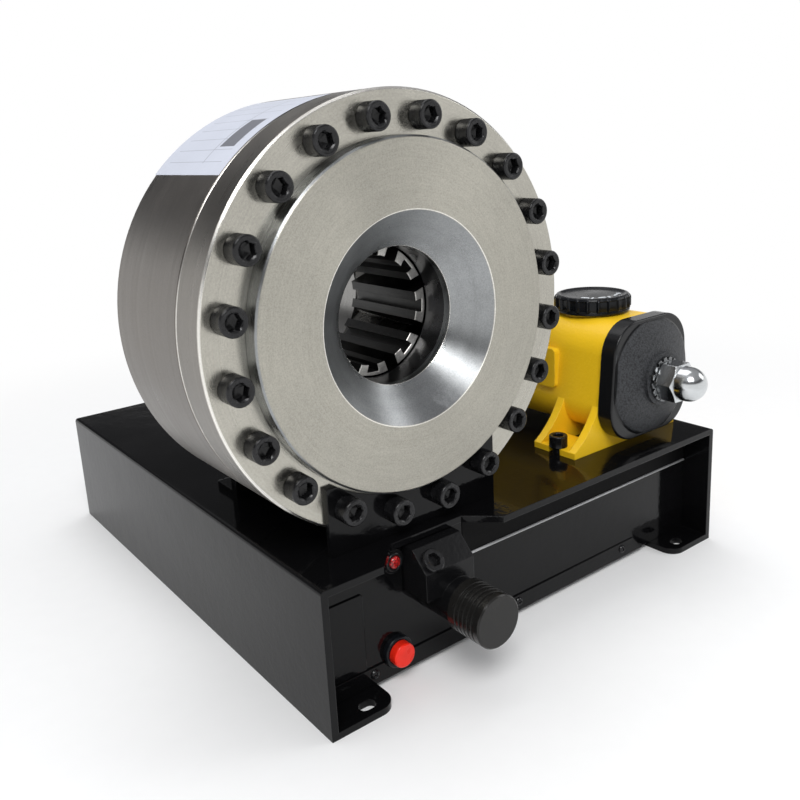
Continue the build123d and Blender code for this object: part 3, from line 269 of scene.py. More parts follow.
def die_steel(name):
    """Hardened die steel: pale ground end faces; the flanks and bore are much darker, as painted shade inside the
    throat.
    """
    g = Graph(name)
    y = g.xyz()[1]
    on_end = g.span(y, DIE_FACE + 0.0003, DIE_FACE + 0.0006, 1.0, 0.0)
    grain = g.noise(g.place(), 1500.0, 2.0, 0.6)
    soft = g.noise(g.place(), 80.0, 3.0, 0.6)
    streak = g.noise(g.vec(g.math("MULTIPLY", g.xyz()[0], 500.0), g.math("MULTIPLY", y, 30.0),
                           g.math("MULTIPLY", g.xyz()[2], 500.0)), 2.0, 3.0, 0.6)
    # Near-black flanks and bore: painted shade inside the throat.
    colour = g.mix(on_end, (0.060, 0.060, 0.059), (0.62, 0.61, 0.58))
    tone = g.math("ADD", g.span(grain, 0.3, 0.7, 0.9, 1.1), g.span(soft, 0.3, 0.7, -0.15, 0.12))
    tone = g.math("ADD", tone, g.span(streak, 0.3, 0.7, -0.12, 0.12))
    return g.set(Base_Color=g.shade(colour, tone), Metallic=1.0, Roughness=g.span(soft, 0.3, 0.7, 0.32, 0.46),
                 Normal=g.bump(grain, 0.00002, 1.0, g.edge_normal(0.0004)))


def black_oxide(name, colour=(0.011, 0.011, 0.012), rough=0.24):
    """Blackened steel, a little oily, with soft patches and smut."""
    g = Graph(name)
    grain = g.noise(g.place(), 1700.0, 3.0, 0.6)
    soft = g.noise(g.place(), 130.0, 3.0, 0.6)
    smut = g.noise(g.place(), 420.0, 2.0, 0.6)
    tone = g.math("ADD", g.span(soft, 0.3, 0.7, 0.65, 1.35), g.span(smut, 0.35, 0.7, -0.15, 0.25))
    return g.set(Base_Color=g.shade(colour, tone), Metallic=0.35,
                 Roughness=g.span(soft, 0.3, 0.7, rough - 0.09, rough + 0.10),
                 Normal=g.bump(grain, 0.00002, 1.0, g.edge_normal(0.0005)), Specular_IOR_Level=0.5)


def gloss_paint(name, colour, rough, peel=0.00006, peel_scale=330.0, coat=0.0, specular=0.5, speck=0.0,
                edge=0.0010, sag=0.0, spread=0.12):
    """Sprayed paint with orange peel, faint dust, slow waviness of the sheet and softened edges."""
    g = Graph(name)
    peel_noise = g.noise(g.place(), peel_scale, 2.0, 0.5)
    wide = g.noise(g.place(), 9.0, 3.0, 0.55)
    dust = g.cells(g.place(), 420.0)
    fine = g.noise(g.place(), 1900.0, 2.0, 0.6)
    tone = g.math("ADD", g.span(wide, 0.3, 0.7, 1.0 - spread, 1.0 + spread),
                  g.span(fine, 0.3, 0.7, -0.04, 0.04))
    base = g.shade(colour, tone)
    if speck:
        base = g.mix(g.span(dust, 0.0, 0.055, speck, 0.0), base, (0.30, 0.30, 0.29))
    height = peel_noise
    if sag:
        height = g.math("ADD", peel_noise, g.math("MULTIPLY", g.noise(g.place(), 26.0, 4.0, 0.62), sag))
    normal = g.bump(height, peel, 1.0, g.edge_normal(edge))
    g.set(Base_Color=base, Roughness=g.span(wide, 0.3, 0.7, rough - 0.02, rough + 0.05), Normal=normal,
          Specular_IOR_Level=specular)
    if coat:
        g.set(Coat_Weight=coat, Coat_Roughness=0.08, Coat_Normal=normal)
    return g.mat


def grained_plastic(name, centre, colour=(0.020, 0.021, 0.023)):
    """Moulded plate: spark-eroded grain on its face, smooth gloss round its edge band."""
    g = Graph(name)
    y = g.xyz()[1]
    face = g.span(y, centre - 0.0012, centre - 0.0006, 1.0, 0.0)
    cells = g.cells(g.place(), 760.0, "SMOOTH_F1")
    fine = g.noise(g.place(), 1500.0, 2.0, 0.65)
    soft = g.noise(g.place(), 30.0, 3.0, 0.6)
    height = g.math("MULTIPLY", g.math("ADD", cells, g.math("MULTIPLY", fine, 0.8)), face)
    speck = g.span(g.math("ADD", cells, g.math("MULTIPLY", fine, 0.8)), 0.55, 1.15, 2.3, 0.5)
    tone = g.math("ADD", g.math("MULTIPLY", g.math("MULTIPLY", speck, g.span(soft, 0.3, 0.7, 0.9, 1.15)), face),
                  g.math("MULTIPLY", g.math("SUBTRACT", 1.0, face), 0.35))
    rough = g.math("ADD", g.math("MULTIPLY", face, 0.34), g.span(fine, 0.3, 0.7, 0.16, 0.24))
    return g.set(Base_Color=g.shade(colour, tone), Roughness=rough,
                 Normal=g.bump(height, 0.00034, 1.0, g.edge_normal(0.0009)), Specular_IOR_Level=0.32)


def smooth_plastic(name, colour, rough, edge=0.0005, coat=0.0, fine_depth=0.00002, specular=0.5):
    """Moulded plastic, nearly smooth."""
    g = Graph(name)
    fine = g.noise(g.place(), 900.0, 2.0, 0.5)
    soft = g.noise(g.place(), 60.0, 2.0, 0.5)
    g.set(Base_Color=g.shade(colour, g.span(soft, 0.3, 0.7, 0.86, 1.12)),
          Roughness=g.span(soft, 0.3, 0.7, rough - 0.04, rough + 0.05), Specular_IOR_Level=specular,
          Normal=g.bump(fine, fine_depth, 1.0, g.edge_normal(edge)))
    if coat:
        g.set(Coat_Weight=coat)
    return g.mat


def paper(name):
    """White sticker: faint cool tint, ruled grey lines and an empty box, no lettering."""
    g = Graph(name)
    u, v, _ = g.xyz(g.add("ShaderNodeTexCoord").outputs["UV"])
    line = g.span(g.math("ABSOLUTE", g.math("SUBTRACT", g.math("FRACT", g.math("MULTIPLY", v, 9.0)), 0.5)),
                  0.475, 0.487)
    inside = g.math("MULTIPLY",
                    g.math("MULTIPLY", g.math("GREATER_THAN", u, 0.10), g.math("LESS_THAN", u, 0.90)),
                    g.math("MULTIPLY", g.math("GREATER_THAN", v, 0.08), g.math("LESS_THAN", v, 0.90)))
    column = g.span(g.math("ABSOLUTE", g.math("SUBTRACT", u, 0.36)), 0.003, 0.006, 1.0, 0.0)
    ink = g.math("MULTIPLY", g.math("MAXIMUM", line, column), inside)
    box_u = g.math("ABSOLUTE", g.math("SUBTRACT", u, 0.22))
    box_v = g.math("ABSOLUTE", g.math("SUBTRACT", v, 0.60))
    band = g.math("MULTIPLY", g.math("LESS_THAN", box_u, 0.10), g.math("LESS_THAN", box_v, 0.15))
    ink = g.math("MAXIMUM", g.math("MULTIPLY", ink, 0.45), g.math("MULTIPLY", band, 0.80))
    fibre = g.noise(g.place(), 900.0, 3.0, 0.6)
    soft = g.noise(g.place(), 22.0, 3.0, 0.6)
    sheet = g.shade((0.62, 0.65, 0.74), g.math("ADD", g.span(fibre, 0.3, 0.7, 0.98, 1.02),
                                               g.span(soft, 0.3, 0.7, -0.04, 0.03)))
    return g.set(Base_Color=g.mix(ink, sheet, (0.06, 0.06, 0.07)), Roughness=0.42,
                 Normal=g.bump(g.math("ADD", g.math("MULTIPLY", fibre, 0.2),
                                      g.noise(g.place(), 70.0, 2.0, 0.5)), 0.00012))


def lens_red(name):
    """Red moulded lens; small cells are lighter in their middles and darker at their edges, as painted glints on the
    facets.
    """
    g = Graph(name)
    fine = g.noise(g.place(), 500.0, 2.0, 0.5)
    facet_glint = g.cells(g.place(), 620.0)
    # Cells lighter in their middles: painted glints on the lens facets.
    return g.set(Base_Color=g.shade((0.34, 0.010, 0.010), g.span(facet_glint, 0.1, 0.6, 2.0, 0.4)), Roughness=0.12,
                 Coat_Weight=0.3, Coat_Roughness=0.03, Normal=g.bump(fine, 0.00012, 1.0, g.edge_normal(0.0004)))


RING_BACK = RING_HIGH[1]
# The edges listed below get pale lines that are partly rubbed wear and partly painted edge highlight.
STEEL_RING = turned_steel("steel_ring", (0.45, 0.435, 0.385), (0.24, 0.225, 0.205), RING_FRONT, RING_R,
                          face_rough=0.21, side_rough=0.30, aniso=0.45, marks=1.1, grain_depth=0.00004,
                          edges=((RING_R, RING_FRONT, 0.0018), (RING_R, RING_BACK, 0.0010)))
STEEL_CONE = turned_steel("steel_cone", (0.43, 0.415, 0.365), (0.50, 0.50, 0.48), DISC_FRONT, DISC_R,
                          hole=(0.31, 0.32, 0.325), face_rough=0.44, side_rough=0.14, hole_rough=0.27, aniso=0.60,
                          grain_depth=0.00006, speckles=0.20,
                          edges=((DISC_R, DISC_FRONT, 0.0009), (FUNNEL_R, DISC_FRONT, 0.0004),
                                 (THROAT_R, THROAT_FRONT, 0.0003)))
STEEL_BODY = turned_steel("steel_body", (0.30, 0.29, 0.275), (0.205, 0.190, 0.175), BODY_LOW[1] - 0.01, BODY_R,
                          side_rough=0.32, aniso=0.60, marks=0.6, edges=((BODY_R, RING_BACK, 0.0012),))
# The sleeve's very dark steel colour is painted shade inside the throat.
STEEL_SLEEVE = plain_steel("steel_sleeve", (0.13, 0.13, 0.135), 0.27, depth=0.000006, patches=0.15)
ZINC_DARK = plain_steel("zinc_dark", (0.20, 0.205, 0.21), 0.30)
ZINC_SATIN = plain_steel("zinc_satin", (0.62, 0.64, 0.65), 0.17, edge=0.0006, depth=0.00001)
STEEL_PISTON = turned_steel("steel_piston", (0.36, 0.355, 0.34), (0.30, 0.295, 0.285), RING_FRONT - 1.0, 1.0,
                            side_rough=0.28, aniso=0.55)
STEEL_DIE = die_steel("steel_die")
STEEL_ZINC = plain_steel("steel_zinc", (0.60, 0.61, 0.62), 0.26)
CHROME = plain_steel("chrome", (0.78, 0.79, 0.80), 0.07, edge=0.0004, depth=0.000004, patches=0.03)
OXIDE = black_oxide("oxide")
BLACK_PAINT = gloss_paint("black_paint", (0.0032, 0.0032, 0.0036), 0.07, peel=0.00005, specular=0.19, speck=0.20,
                          sag=5.0, edge=0.0009)
VALVE_BLACK = gloss_paint("valve_black", (0.005, 0.005, 0.0055), 0.22, peel=0.0001, specular=0.24)
PUMP_BLACK = gloss_paint("pump_black", (0.010, 0.010, 0.011), 0.30, peel=0.00014, specular=0.40)
KNOB_BLACK = smooth_plastic("knob_black", (0.011, 0.0105, 0.0098), 0.24, edge=0.0004, fine_depth=0.00005,
                            specular=0.30)
YELLOW = gloss_paint("yellow_paint", (0.96, 0.60, 0.016), 0.34, peel=0.00024, peel_scale=420.0, coat=0.12,
                     specular=0.35,
                     edge=0.0012, sag=1.2, spread=0.07)
CAP_PLASTIC = smooth_plastic("cap_plastic", (0.006, 0.007, 0.009), 0.27, specular=0.22)
RED_PLASTIC = smooth_plastic("red_plastic", (0.86, 0.022, 0.008), 0.30, coat=0.1, specular=0.3)
RED_LENS = lens_red("red_lens")
RUBBER = smooth_plastic("rubber", (0.012, 0.012, 0.012), 0.62)
PAPER = paper("paper")
# Near-black paint for the box under the base's front edge: painted shadow.
PAINTED_SHADOW_BLACK = gloss_paint("painted_shadow_black", (0.002, 0.002, 0.0022), 0.60, peel=0.0001, specular=0.10)
# Grey paint for the black panel's folded edge: painted highlight.
RIM_HIGHLIGHT_PAINT = gloss_paint("rim_painted_highlight", (0.42, 0.42, 0.43), 0.22, peel=0.00003, specular=0.6)
MARK_WHITE = smooth_plastic("mark_white", (0.66, 0.69, 0.72), 0.45)
TANK_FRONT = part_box("cap_gasket")[1][1]
CAP_LOW, CAP_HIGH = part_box("tank_end_cap")
END_PLATE_T = 0.0135
CAP_PLATE_FRONT = CAP_HIGH[1] - END_PLATE_T
GRAIN_PLASTIC = grained_plastic("grain_plastic", CAP_PLATE_FRONT)

FINISH = {
    "black_paint": BLACK_PAINT, "ground_steel": STEEL_RING, "brushed_steel": STEEL_CONE, "die_steel": STEEL_DIE,
    "black_oxide": OXIDE, "valve_black": VALVE_BLACK, "zinc": STEEL_ZINC, "chrome": CHROME,
    "red_plastic": RED_PLASTIC, "black_plastic": CAP_PLASTIC, "seal_rubber": RUBBER, "yellow_paint": YELLOW,
    "pump_black": PUMP_BLACK}
OWN_FINISH = {"cylinder_body": STEEL_BODY, "tank_end_cap": GRAIN_PLASTIC, "piston": STEEL_PISTON,
              "adjusting_knob": KNOB_BLACK, "sight_lens": RED_LENS, "lens_bezel": OXIDE, "acorn_nut": ZINC_SATIN,
              "panel_screws": OXIDE}

SLOT_OF = {row["node"]: row["material_slot"] for row in RECORD["subparts"]}
for node_name, node_obj in NODES.items():
    material = OWN_FINISH.get(node_name) or FINISH[SLOT_OF[node_name]]
    if not node_obj.material_slots:
        node_obj.data.materials.append(material)
    for material_slot in node_obj.material_slots:
        material_slot.material = material


# ---------------------------------------------------------------- mesh helpers
def piece(name, verts, faces, material, stands_for, body="frame", angle=35.0):
    """Makes a mesh piece in the part frame, which stands for a CAD node and rides on its body."""
    mesh = bpy.data.meshes.new(name)
    mesh.from_pydata([tuple(v) for v in verts], [], faces)
    mesh.validate()
    mesh.shade_smooth()
    mesh.set_sharp_from_angle(angle=math.radians(angle))
    mesh.materials.append(material)
    obj = bpy.data.objects.new(name, mesh)
    bpy.context.scene.collection.objects.link(obj)
    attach(obj, body)
    if stands_for:
        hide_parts(stands_for)
    return obj


def lathe(rings, count, wave=None):
    """Vertices and faces of a surface of revolution about +Z. Each ring is (radius, height) with an optional
    third value that picks how the wave function changes its radius."""
    verts, faces = [], []
    for row in rings:
        radius, height = row[0], row[1]
        kind = row[2] if len(row) > 2 else 0
        for k in range(count):
            angle = 2 * math.pi * k / count
            r = wave(kind, angle, radius) if kind and wave else radius
            verts.append((r * math.cos(angle), r * math.sin(angle), height))
    for i in range(len(rings) - 1):
        for k in range(count):
            n = (k + 1) % count
            faces.append((i * count + k, i * count + n, (i + 1) * count + n, (i + 1) * count + k))
    faces.append(tuple(range(count - 1, -1, -1)))
    last = (len(rings) - 1) * count
    faces.append(tuple(last + k for k in range(count)))
    return verts, faces


def aim(axis, place):
    """Matrix that sends +Z to the axis and the origin to the place."""
    m = Vector(axis).to_track_quat("Z", "Y").to_matrix().to_4x4()
    m.translation = Vector(place)
    return m


class Parts:
    """Collects several shapes into one mesh."""

    def __init__(self):
        self.verts = []
        self.faces = []

    def add(self, shape, matrix):
        base = len(self.verts)
        self.verts += [matrix @ Vector(v) for v in shape[0]]
        self.faces += [tuple(base + i for i in face) for face in shape[1]]


def islands(obj):
    """Groups a mesh's vertices into its separate solids."""
    mesh = obj.data
    parent = list(range(len(mesh.vertices)))

    def root(i):
        while parent[i] != i:
            parent[i] = parent[parent[i]]
            i = parent[i]
        return i

    place_of = {}
    for v in mesh.vertices:
        key = tuple(round(c, 7) for c in v.co)
        if key in place_of:
            parent[root(v.index)] = root(place_of[key])
        else:
            place_of[key] = v.index
    for edge in mesh.edges:
        a, b = root(edge.vertices[0]), root(edge.vertices[1])
        if a != b:
            parent[a] = b
    groups = {}
    for v in mesh.vertices:
        groups.setdefault(root(v.index), []).append(obj.matrix_world @ v.co)
    return [groups[key] for key in sorted(groups, key=lambda k: tuple(groups[k][0]))]


def screw_sizes(points, axis):
    """Reads a screw's axis, head and shank from its CAD vertices."""
    axis = Vector(axis).normalized()
    along = [p.dot(axis) for p in points]
    flat = [p - axis * p.dot(axis) for p in points]
    low = Vector([min(p[i] for p in flat) for i in range(3)])
    high = Vector([max(p[i] for p in flat) for i in range(3)])
    centre = (low + high) / 2
    radial = [(p - centre).length for p in flat]
    head_r = max(radial)
    top = max(along)
    under = min(h for h, r in zip(along, radial) if r > head_r * 0.93)
    end = min(along)
    shank = max([r for h, r in zip(along, radial) if h < under - 0.0005] or [head_r * 0.55])
    return axis, centre, head_r, top, under, shank, end


# ---------------------------------------------------------------- fasteners
def hex_ring(angle, flats):
    """Distance from the centre to a hexagon's edge at an angle."""
    turn = (angle % (math.pi / 3)) - math.pi / 6
    return flats / 2 / math.cos(turn)


def socket_head(head_r, height, shank_r, length):
    """Socket head cap screw: knurled head, rounded rim, chamfered hexagon socket. Head underside at Z = 0."""
    flats = head_r * 1.06
    c = head_r * 0.05

    def wave(kind, angle, radius):
        if kind == 1:
            return radius - (0.020 * head_r if round(angle / (math.pi / 60)) % 2 else 0.0)
        return hex_ring(angle, radius * 2)

    rim = head_r * 0.13
    rings = [(shank_r * 0.8, -length), (shank_r, -length + shank_r * 0.2), (shank_r, -0.0002), (shank_r, 0.0),
             (head_r - c, 0.0), (head_r, c), (head_r, c * 1.6, 1), (head_r, height * 0.80, 1),
             (head_r, height * 0.84), (head_r, height - rim)]
    for k in range(1, 5):
        t = k / 4 * math.pi / 2
        rings.append((head_r - rim * (1 - math.cos(t)), height - rim + rim * math.sin(t)))
    rings += [(head_r * 0.83, height), (head_r * 0.80, height - head_r * 0.012),
              (head_r * 0.66, height - head_r * 0.012),
              (head_r * 0.635, height - head_r * 0.03), (flats / 2, height - head_r * 0.11, 2),
              (flats / 2, height * 0.42, 2), (flats / 2 * 0.9, height * 0.40, 2), (head_r * 0.1, height * 0.30)]
    return lathe(rings, 120, wave)


def bar(length, width, height):
    """Small raised bar with a narrower top, centred on the origin, standing on Z = 0."""
    l, w, s = length / 2, width / 2, 0.7
    verts = [(-l, -w, 0), (l, -w, 0), (l, w, 0), (-l, w, 0),
             (-l * s, -w * s, height), (l * s, -w * s, height), (l * s, w * s, height), (-l * s, w * s, height)]
    faces = [(3, 2, 1, 0), (4, 5, 6, 7), (0, 1, 5, 4), (1, 2, 6, 5), (2, 3, 7, 6), (3, 0, 4, 7)]
    return verts, faces


def socket_screws(node, axis):
    """Replaces a node of socket screws with detailed ones in the same places."""
    parts = Parts()
    for number, points in enumerate(islands(NODES[node])):
        out, centre, head_r, top, under, shank, end = screw_sizes(points, axis)
        seat = aim(out, centre + out * under)
        seat = seat @ Matrix.Rotation(math.radians(17.0 * number), 4, "Z")
        height = top - under
        parts.add(socket_head(head_r, height, shank, under - end), seat)
        for k in range(14):
            if k in (6, 13):
                continue
            turn = Matrix.Rotation(2 * math.pi * k / 14, 4, "Z")
            shift = Matrix.Translation((head_r * 0.73, 0.0, height - head_r * 0.014))
            size = head_r * (0.10 if k % 3 else 0.06)
            parts.add(bar(size, head_r * 0.07, head_r * 0.022), seat @ turn @ shift)
    return piece(node + "_detail", parts.verts, parts.faces, FINISH[SLOT_OF[node]], node, angle=28.0)


def cross_recess(r, angle, head_r):
    """Depth of a cross recess at a point of a screw's head."""
    u, v = abs(r * math.cos(angle)), abs(r * math.sin(angle))
    half = head_r * 0.13
    reach = head_r * 0.58
    arm_u = max(0.0, min(1.0, (half - v) / (half * 0.35))) * max(0.0, min(1.0, (reach - u) / (reach * 0.25)))
    arm_v = max(0.0, min(1.0, (half - u) / (half * 0.35))) * max(0.0, min(1.0, (reach - v) / (reach * 0.25)))
    return max(arm_u, arm_v) * head_r * 0.34


def pan_screws(node, axis):
    """Replaces a node of panel screws with cross-recessed pan heads."""
    parts = Parts()
    count = 96
    for number, points in enumerate(islands(NODES[node])):
        out, centre, head_r, top, under, shank, end = screw_sizes(points, axis)
        seat = aim(out, centre + out * under) @ Matrix.Rotation(math.radians(23.0 + 31.0 * number), 4, "Z")
        height = top - under
        rings = [(shank * 0.8, end - under), (shank, end - under + shank * 0.3), (shank, 0.0),
                 (head_r * 0.97, 0.0),
                 (head_r, height * 0.12)]
        dome = []
        steps = 30
        for k in range(1, steps):
            r = head_r * math.cos(k / steps * math.pi / 2) ** 0.8
            dome.append((r, height * (0.12 + 0.88 * (1 - (r / head_r) ** 3.2))))
        verts, faces = lathe(rings + dome + [(head_r * 0.01, height)], count)
        verts = [(x, y, z - (cross_recess(math.hypot(x, y), math.atan2(y, x), head_r)
                             if z > height * 0.3 else 0.0)) for x, y, z in verts]
        parts.add((verts, faces), seat)
    return piece(node + "_detail", parts.verts, parts.faces, OXIDE, node, angle=40.0)


FRONT = (0.0, -1.0, 0.0)
BACK = (0.0, 1.0, 0.0)
UP = (0.0, 0.0, 1.0)
socket_screws("ring_bolts", FRONT)
socket_screws("gland_bolts", BACK)
socket_screws("tank_bolts", UP)
socket_screws("pump_head_bolts", UP)
pan_screws("panel_screws", FRONT)


# ---------------------------------------------------------------- dies and throat
def extrude_rings(rings):
    """Joins closed outlines with the same number of points into a capped solid."""
    count = len(rings[0])
    verts = [v for ring in rings for v in ring]
    faces = []
    for i in range(len(rings) - 1):
        for k in range(count):
            n = (k + 1) % count
            faces.append((i * count + k, (i + 1) * count + k, (i + 1) * count + n, i * count + n))
    last = (len(rings) - 1) * count
    faces.append(tuple(range(count)))
    faces.append(tuple(last + k for k in range(count - 1, -1, -1)))
    return verts, faces


DIE_LAND_R = 0.0376
DIE_SLOT_R = 0.0427
DIE_SLOT_HALF = 0.0035
DIE_NOSE_R = 0.0454
DIE_NOSE_L = 0.0115
DIE_GAP = 0.0095
DIE_APEX = DIE_GAP / 2 / math.sin(math.pi / DIE_COUNT)
DIE_TURN = math.radians(-4.0)
DIE_BACK_DROP = 0.0022


def side_half(u):
    """Half width of the wedge at a distance from the axis."""
    return (u - DIE_APEX) * math.tan(math.pi / DIE_COUNT)


def meet_side(radius):
    """Where the wedge's side line meets a circle about the axis."""
    t = math.tan(math.pi / DIE_COUNT)
    a, b, c = 1 + t * t, -2 * t * t * DIE_APEX, t * t * DIE_APEX ** 2 - radius ** 2
    u = (-b + math.sqrt(b * b - 4 * a * c)) / (2 * a)
    return u, side_half(u)


def die_outline(back, inset=0.0):
    """Outline of one die across the axis. back is the height of its flat back, or None for the round nose."""
    land_u, land_w = meet_side(DIE_LAND_R + inset)
    start = math.asin((DIE_SLOT_HALF + inset) / (DIE_LAND_R + inset))
    end = math.atan2(land_w, land_u) - inset / DIE_LAND_R
    slot = DIE_SLOT_R + inset
    flare = DIE_SLOT_HALF + 0.0010 + inset
    half = [(slot, 0.0), (slot, flare), (slot - 0.0020, flare)]
    half += [((DIE_LAND_R + inset) * math.cos(start + (end - start) * k / 6),
              (DIE_LAND_R + inset) * math.sin(start + (end - start) * k / 6)) for k in range(7)]
    if back is None:
        nose_u, nose_w = meet_side(DIE_NOSE_R - inset)
        reach = math.atan2(nose_w, nose_u) - inset / DIE_NOSE_R
        half += [((DIE_NOSE_R - inset) * math.cos(reach * (1 - k / 8)),
                  (DIE_NOSE_R - inset) * math.sin(reach * (1 - k / 8))) for k in range(9)]
    else:
        half += [(back, side_half(back) * (1 - k / 8)) for k in range(9)]
    return half + [(u, -w) for u, w in reversed(half[1:-1])]


def back_height(number):
    """The die's back profile, read from its CAD mesh: pairs of depth and height."""
    low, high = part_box("die_%d" % number)
    cx, cz = (low[0] + high[0]) / 2 - HEAD_X, (low[2] + high[2]) / 2 - HEAD_Z
    angle = round(math.atan2(cz, cx) / (math.pi / 4)) * math.pi / 4
    out = (math.cos(angle), math.sin(angle))
    node = NODES["die_%d" % number]
    best = {}
    for v in node.data.vertices:
        p = node.matrix_world @ v.co
        u = (p.x - HEAD_X) * out[0] + (p.z - HEAD_Z) * out[1]
        key = round(p.y, 4)
        best[key] = max(best.get(key, 0.0), u)
    rows = sorted(best.items())
    hull = []
    for row in rows:
        while len(hull) > 1 and ((hull[-1][1] - hull[-2][1]) * (row[0] - hull[-2][0])
                                 <= (row[1] - hull[-2][1]) * (hull[-1][0] - hull[-2][0])):
            hull.pop()
        hull.append(row)
    return angle, hull


def profile_at(hull, y):
    for (y0, u0), (y1, u1) in zip(hull, hull[1:]):
        if y0 <= y <= y1 and y1 > y0:
            return u0 + (u1 - u0) * (y - y0) / (y1 - y0)
    return hull[-1][1]


def die(number):
    """One crimping die: pale end face, round nose, dovetail slot in its bore and a sloping back."""
    angle, hull = back_height(number)
    turn = angle + DIE_TURN
    step = DIE_FACE + DIE_NOSE_L
    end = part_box("die_%d" % number)[1][1]
    stations = [(DIE_FACE, None, 0.0004), (DIE_FACE + 0.0004, None, 0.0), (step, None, 0.0)]
    depths = [step] + [y for y, _ in hull if step + 0.001 < y < end - 0.001] + [end]
    for y in depths:
        stations.append((y, profile_at(hull, y) - DIE_BACK_DROP, 0.0))
    rings = []
    for y, back, inset in stations:
        ring = []
        for u, w in die_outline(back, inset):
            ring.append((HEAD_X + u * math.cos(turn) - w * math.sin(turn), y,
                         HEAD_Z + u * math.sin(turn) + w * math.cos(turn)))
        rings.append(ring)
    verts, faces = extrude_rings(rings)
    node = "die_%d" % number
    return piece(node + "_detail", verts, faces, STEEL_DIE, node, node, 30.0)


def throat_sleeve():
    """Polished tube behind the funnel, in which the dies' noses run; its very dark steel colour is painted shade
    inside the throat.
    """
    front, back = THROAT_BACK, DIE_FACE - 0.0005
    inner, outer = THROAT_R + 0.0001, THROAT_R + 0.0015
    rings = [(inner, 0.0), (inner, back - front - 0.0004), (inner + 0.0004, back - front), (outer, back - front),
             (outer, 0.0)]
    count = 144
    verts, faces = lathe(rings, count)
    faces = faces[:-2]
    last = (len(rings) - 1) * count
    for k in range(count):
        n = (k + 1) % count
        faces.append((last + k, last + n, n, k))
    parts = Parts()
    parts.add((verts, faces), aim(BACK, (HEAD_X, front, HEAD_Z)))
    obj = piece("throat_sleeve", parts.verts, parts.faces, STEEL_SLEEVE, None, "frame", 40.0)
    return obj


for die_number in range(1, DIE_COUNT + 1):
    die(die_number)
throat_sleeve()


# ---------------------------------------------------------------- front recess: painted shadow and painted highlight
PANEL_RIM_Z = 0.0700


def front_recess_painted_light():
    """A near-black box in the gap under the base's front edge as painted shadow, and a grey folded edge below it as
    painted highlight, right of the valve.
    """
    low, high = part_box("front_panel")
    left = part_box("valve_block")[1][0] + 0.0015
    right, face = high[0] - 0.001, low[1]
    rim_z = PANEL_RIM_Z
    # Near-black box filling the gap under the base's front edge: painted shadow.
    gap = box_shape((left, face - 0.0004, rim_z + 0.0011), (right, face + 0.0002, high[2] - 0.0005))
    obj = piece("front_recess_painted_light", gap[0], gap[1], PAINTED_SHADOW_BLACK, None)
    # Grey folded edge below the dark box: painted highlight on the black panel.
    profile = [(0.0002, -0.0006), (0.0002, 0.0011), (-0.0008, 0.0013), (-0.0015, 0.0011), (-0.0019, 0.0006),
               (-0.0018, 0.0000), (-0.0008, -0.0006)]
    rings = []
    for x in (left, left + 0.0006, right - 0.0006, right):
        shrink = 0.6 if x in (left, right) else 1.0
        rings.append([(x, face + dy * shrink, rim_z + dz * shrink) for dy, dz in profile])
    verts, faces = extrude_rings(rings)
    faces = [tuple(reversed(face_)) for face_ in faces]
    rim = piece("panel_rim_painted_highlight", verts, faces, RIM_HIGHLIGHT_PAINT, None, "frame", 50.0)


def box_shape(low, high):
    """Vertices and faces of a box with cut-off edges at its front."""
    (x0, y0, z0), (x1, y1, z1) = low, high
    c = min(0.0003, (y1 - y0) / 2)
    verts = [(x0, y1, z0), (x1, y1, z0), (x1, y1, z1), (x0, y1, z1),
             (x0, y0 + c, z0), (x1, y0 + c, z0), (x1, y0 + c, z1), (x0, y0 + c, z1),
             (x0 + c, y0, z0 + c), (x1 - c, y0, z0 + c), (x1 - c, y0, z1 - c), (x0 + c, y0, z1 - c)]
    faces = [(3, 2, 1, 0)]
    for a, b in ((0, 4), (4, 8)):
        faces += [(a, a + 1, b + 1, b), (a + 1, a + 2, b + 2, b + 1), (a + 2, a + 3, b + 3, b + 2),
                  (a + 3, a, b, b + 3)]
    faces.append((8, 9, 10, 11))
    return verts, faces


front_recess_painted_light()


# ---------------------------------------------------------------- tank fittings
def star_washer():
    """Toothed lock washer under the cap nut."""
    low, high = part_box("tie_washer")
    r_out = (high[0] - low[0]) / 2
    thick = high[1] - low[1]
    r_in = (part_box("tie_rod")[1][0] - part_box("tie_rod")[0][0]) / 2 + 0.0003
    count, teeth = 160, 16

    def wave(kind, angle, radius):
        phase = (angle * teeth / (2 * math.pi)) % 1.0
        return radius if phase < 0.68 else r_out * 0.86

    rings = [(r_in, thick * 0.25), (r_out * 0.84, thick * 0.25), (r_out * 0.995, thick * 0.1, 1),
             (r_out, thick * 0.5, 1),
             (r_out * 0.995, thick * 0.75, 1), (r_out * 0.84, thick * 0.85), (r_in, thick * 0.98)]
    verts, faces = lathe(rings, count, wave)
    lifted = []
    for x, y, z in verts:
        r = math.hypot(x, y)
        phase = (math.atan2(y, x) * teeth / (2 * math.pi)) % 1.0
        twist = (phase / 0.68 - 0.5) * thick * 0.35 if r > r_out * 0.9 and phase < 0.68 else 0.0
        lifted.append((x, y, min(max(z + twist, 0.0), thick)))
    faces = faces[:-2]
    seat = aim(FRONT, ((low[0] + high[0]) / 2, high[1], (low[2] + high[2]) / 2))
    for k in range(count):
        n = (k + 1) % count
        last = (len(rings) - 1) * count
        faces.append((last + k, last + n, n, k))
    parts = Parts()
    parts.add((lifted, faces), seat)
    return piece("tie_washer_detail", parts.verts, parts.faces, ZINC_DARK, "tie_washer")


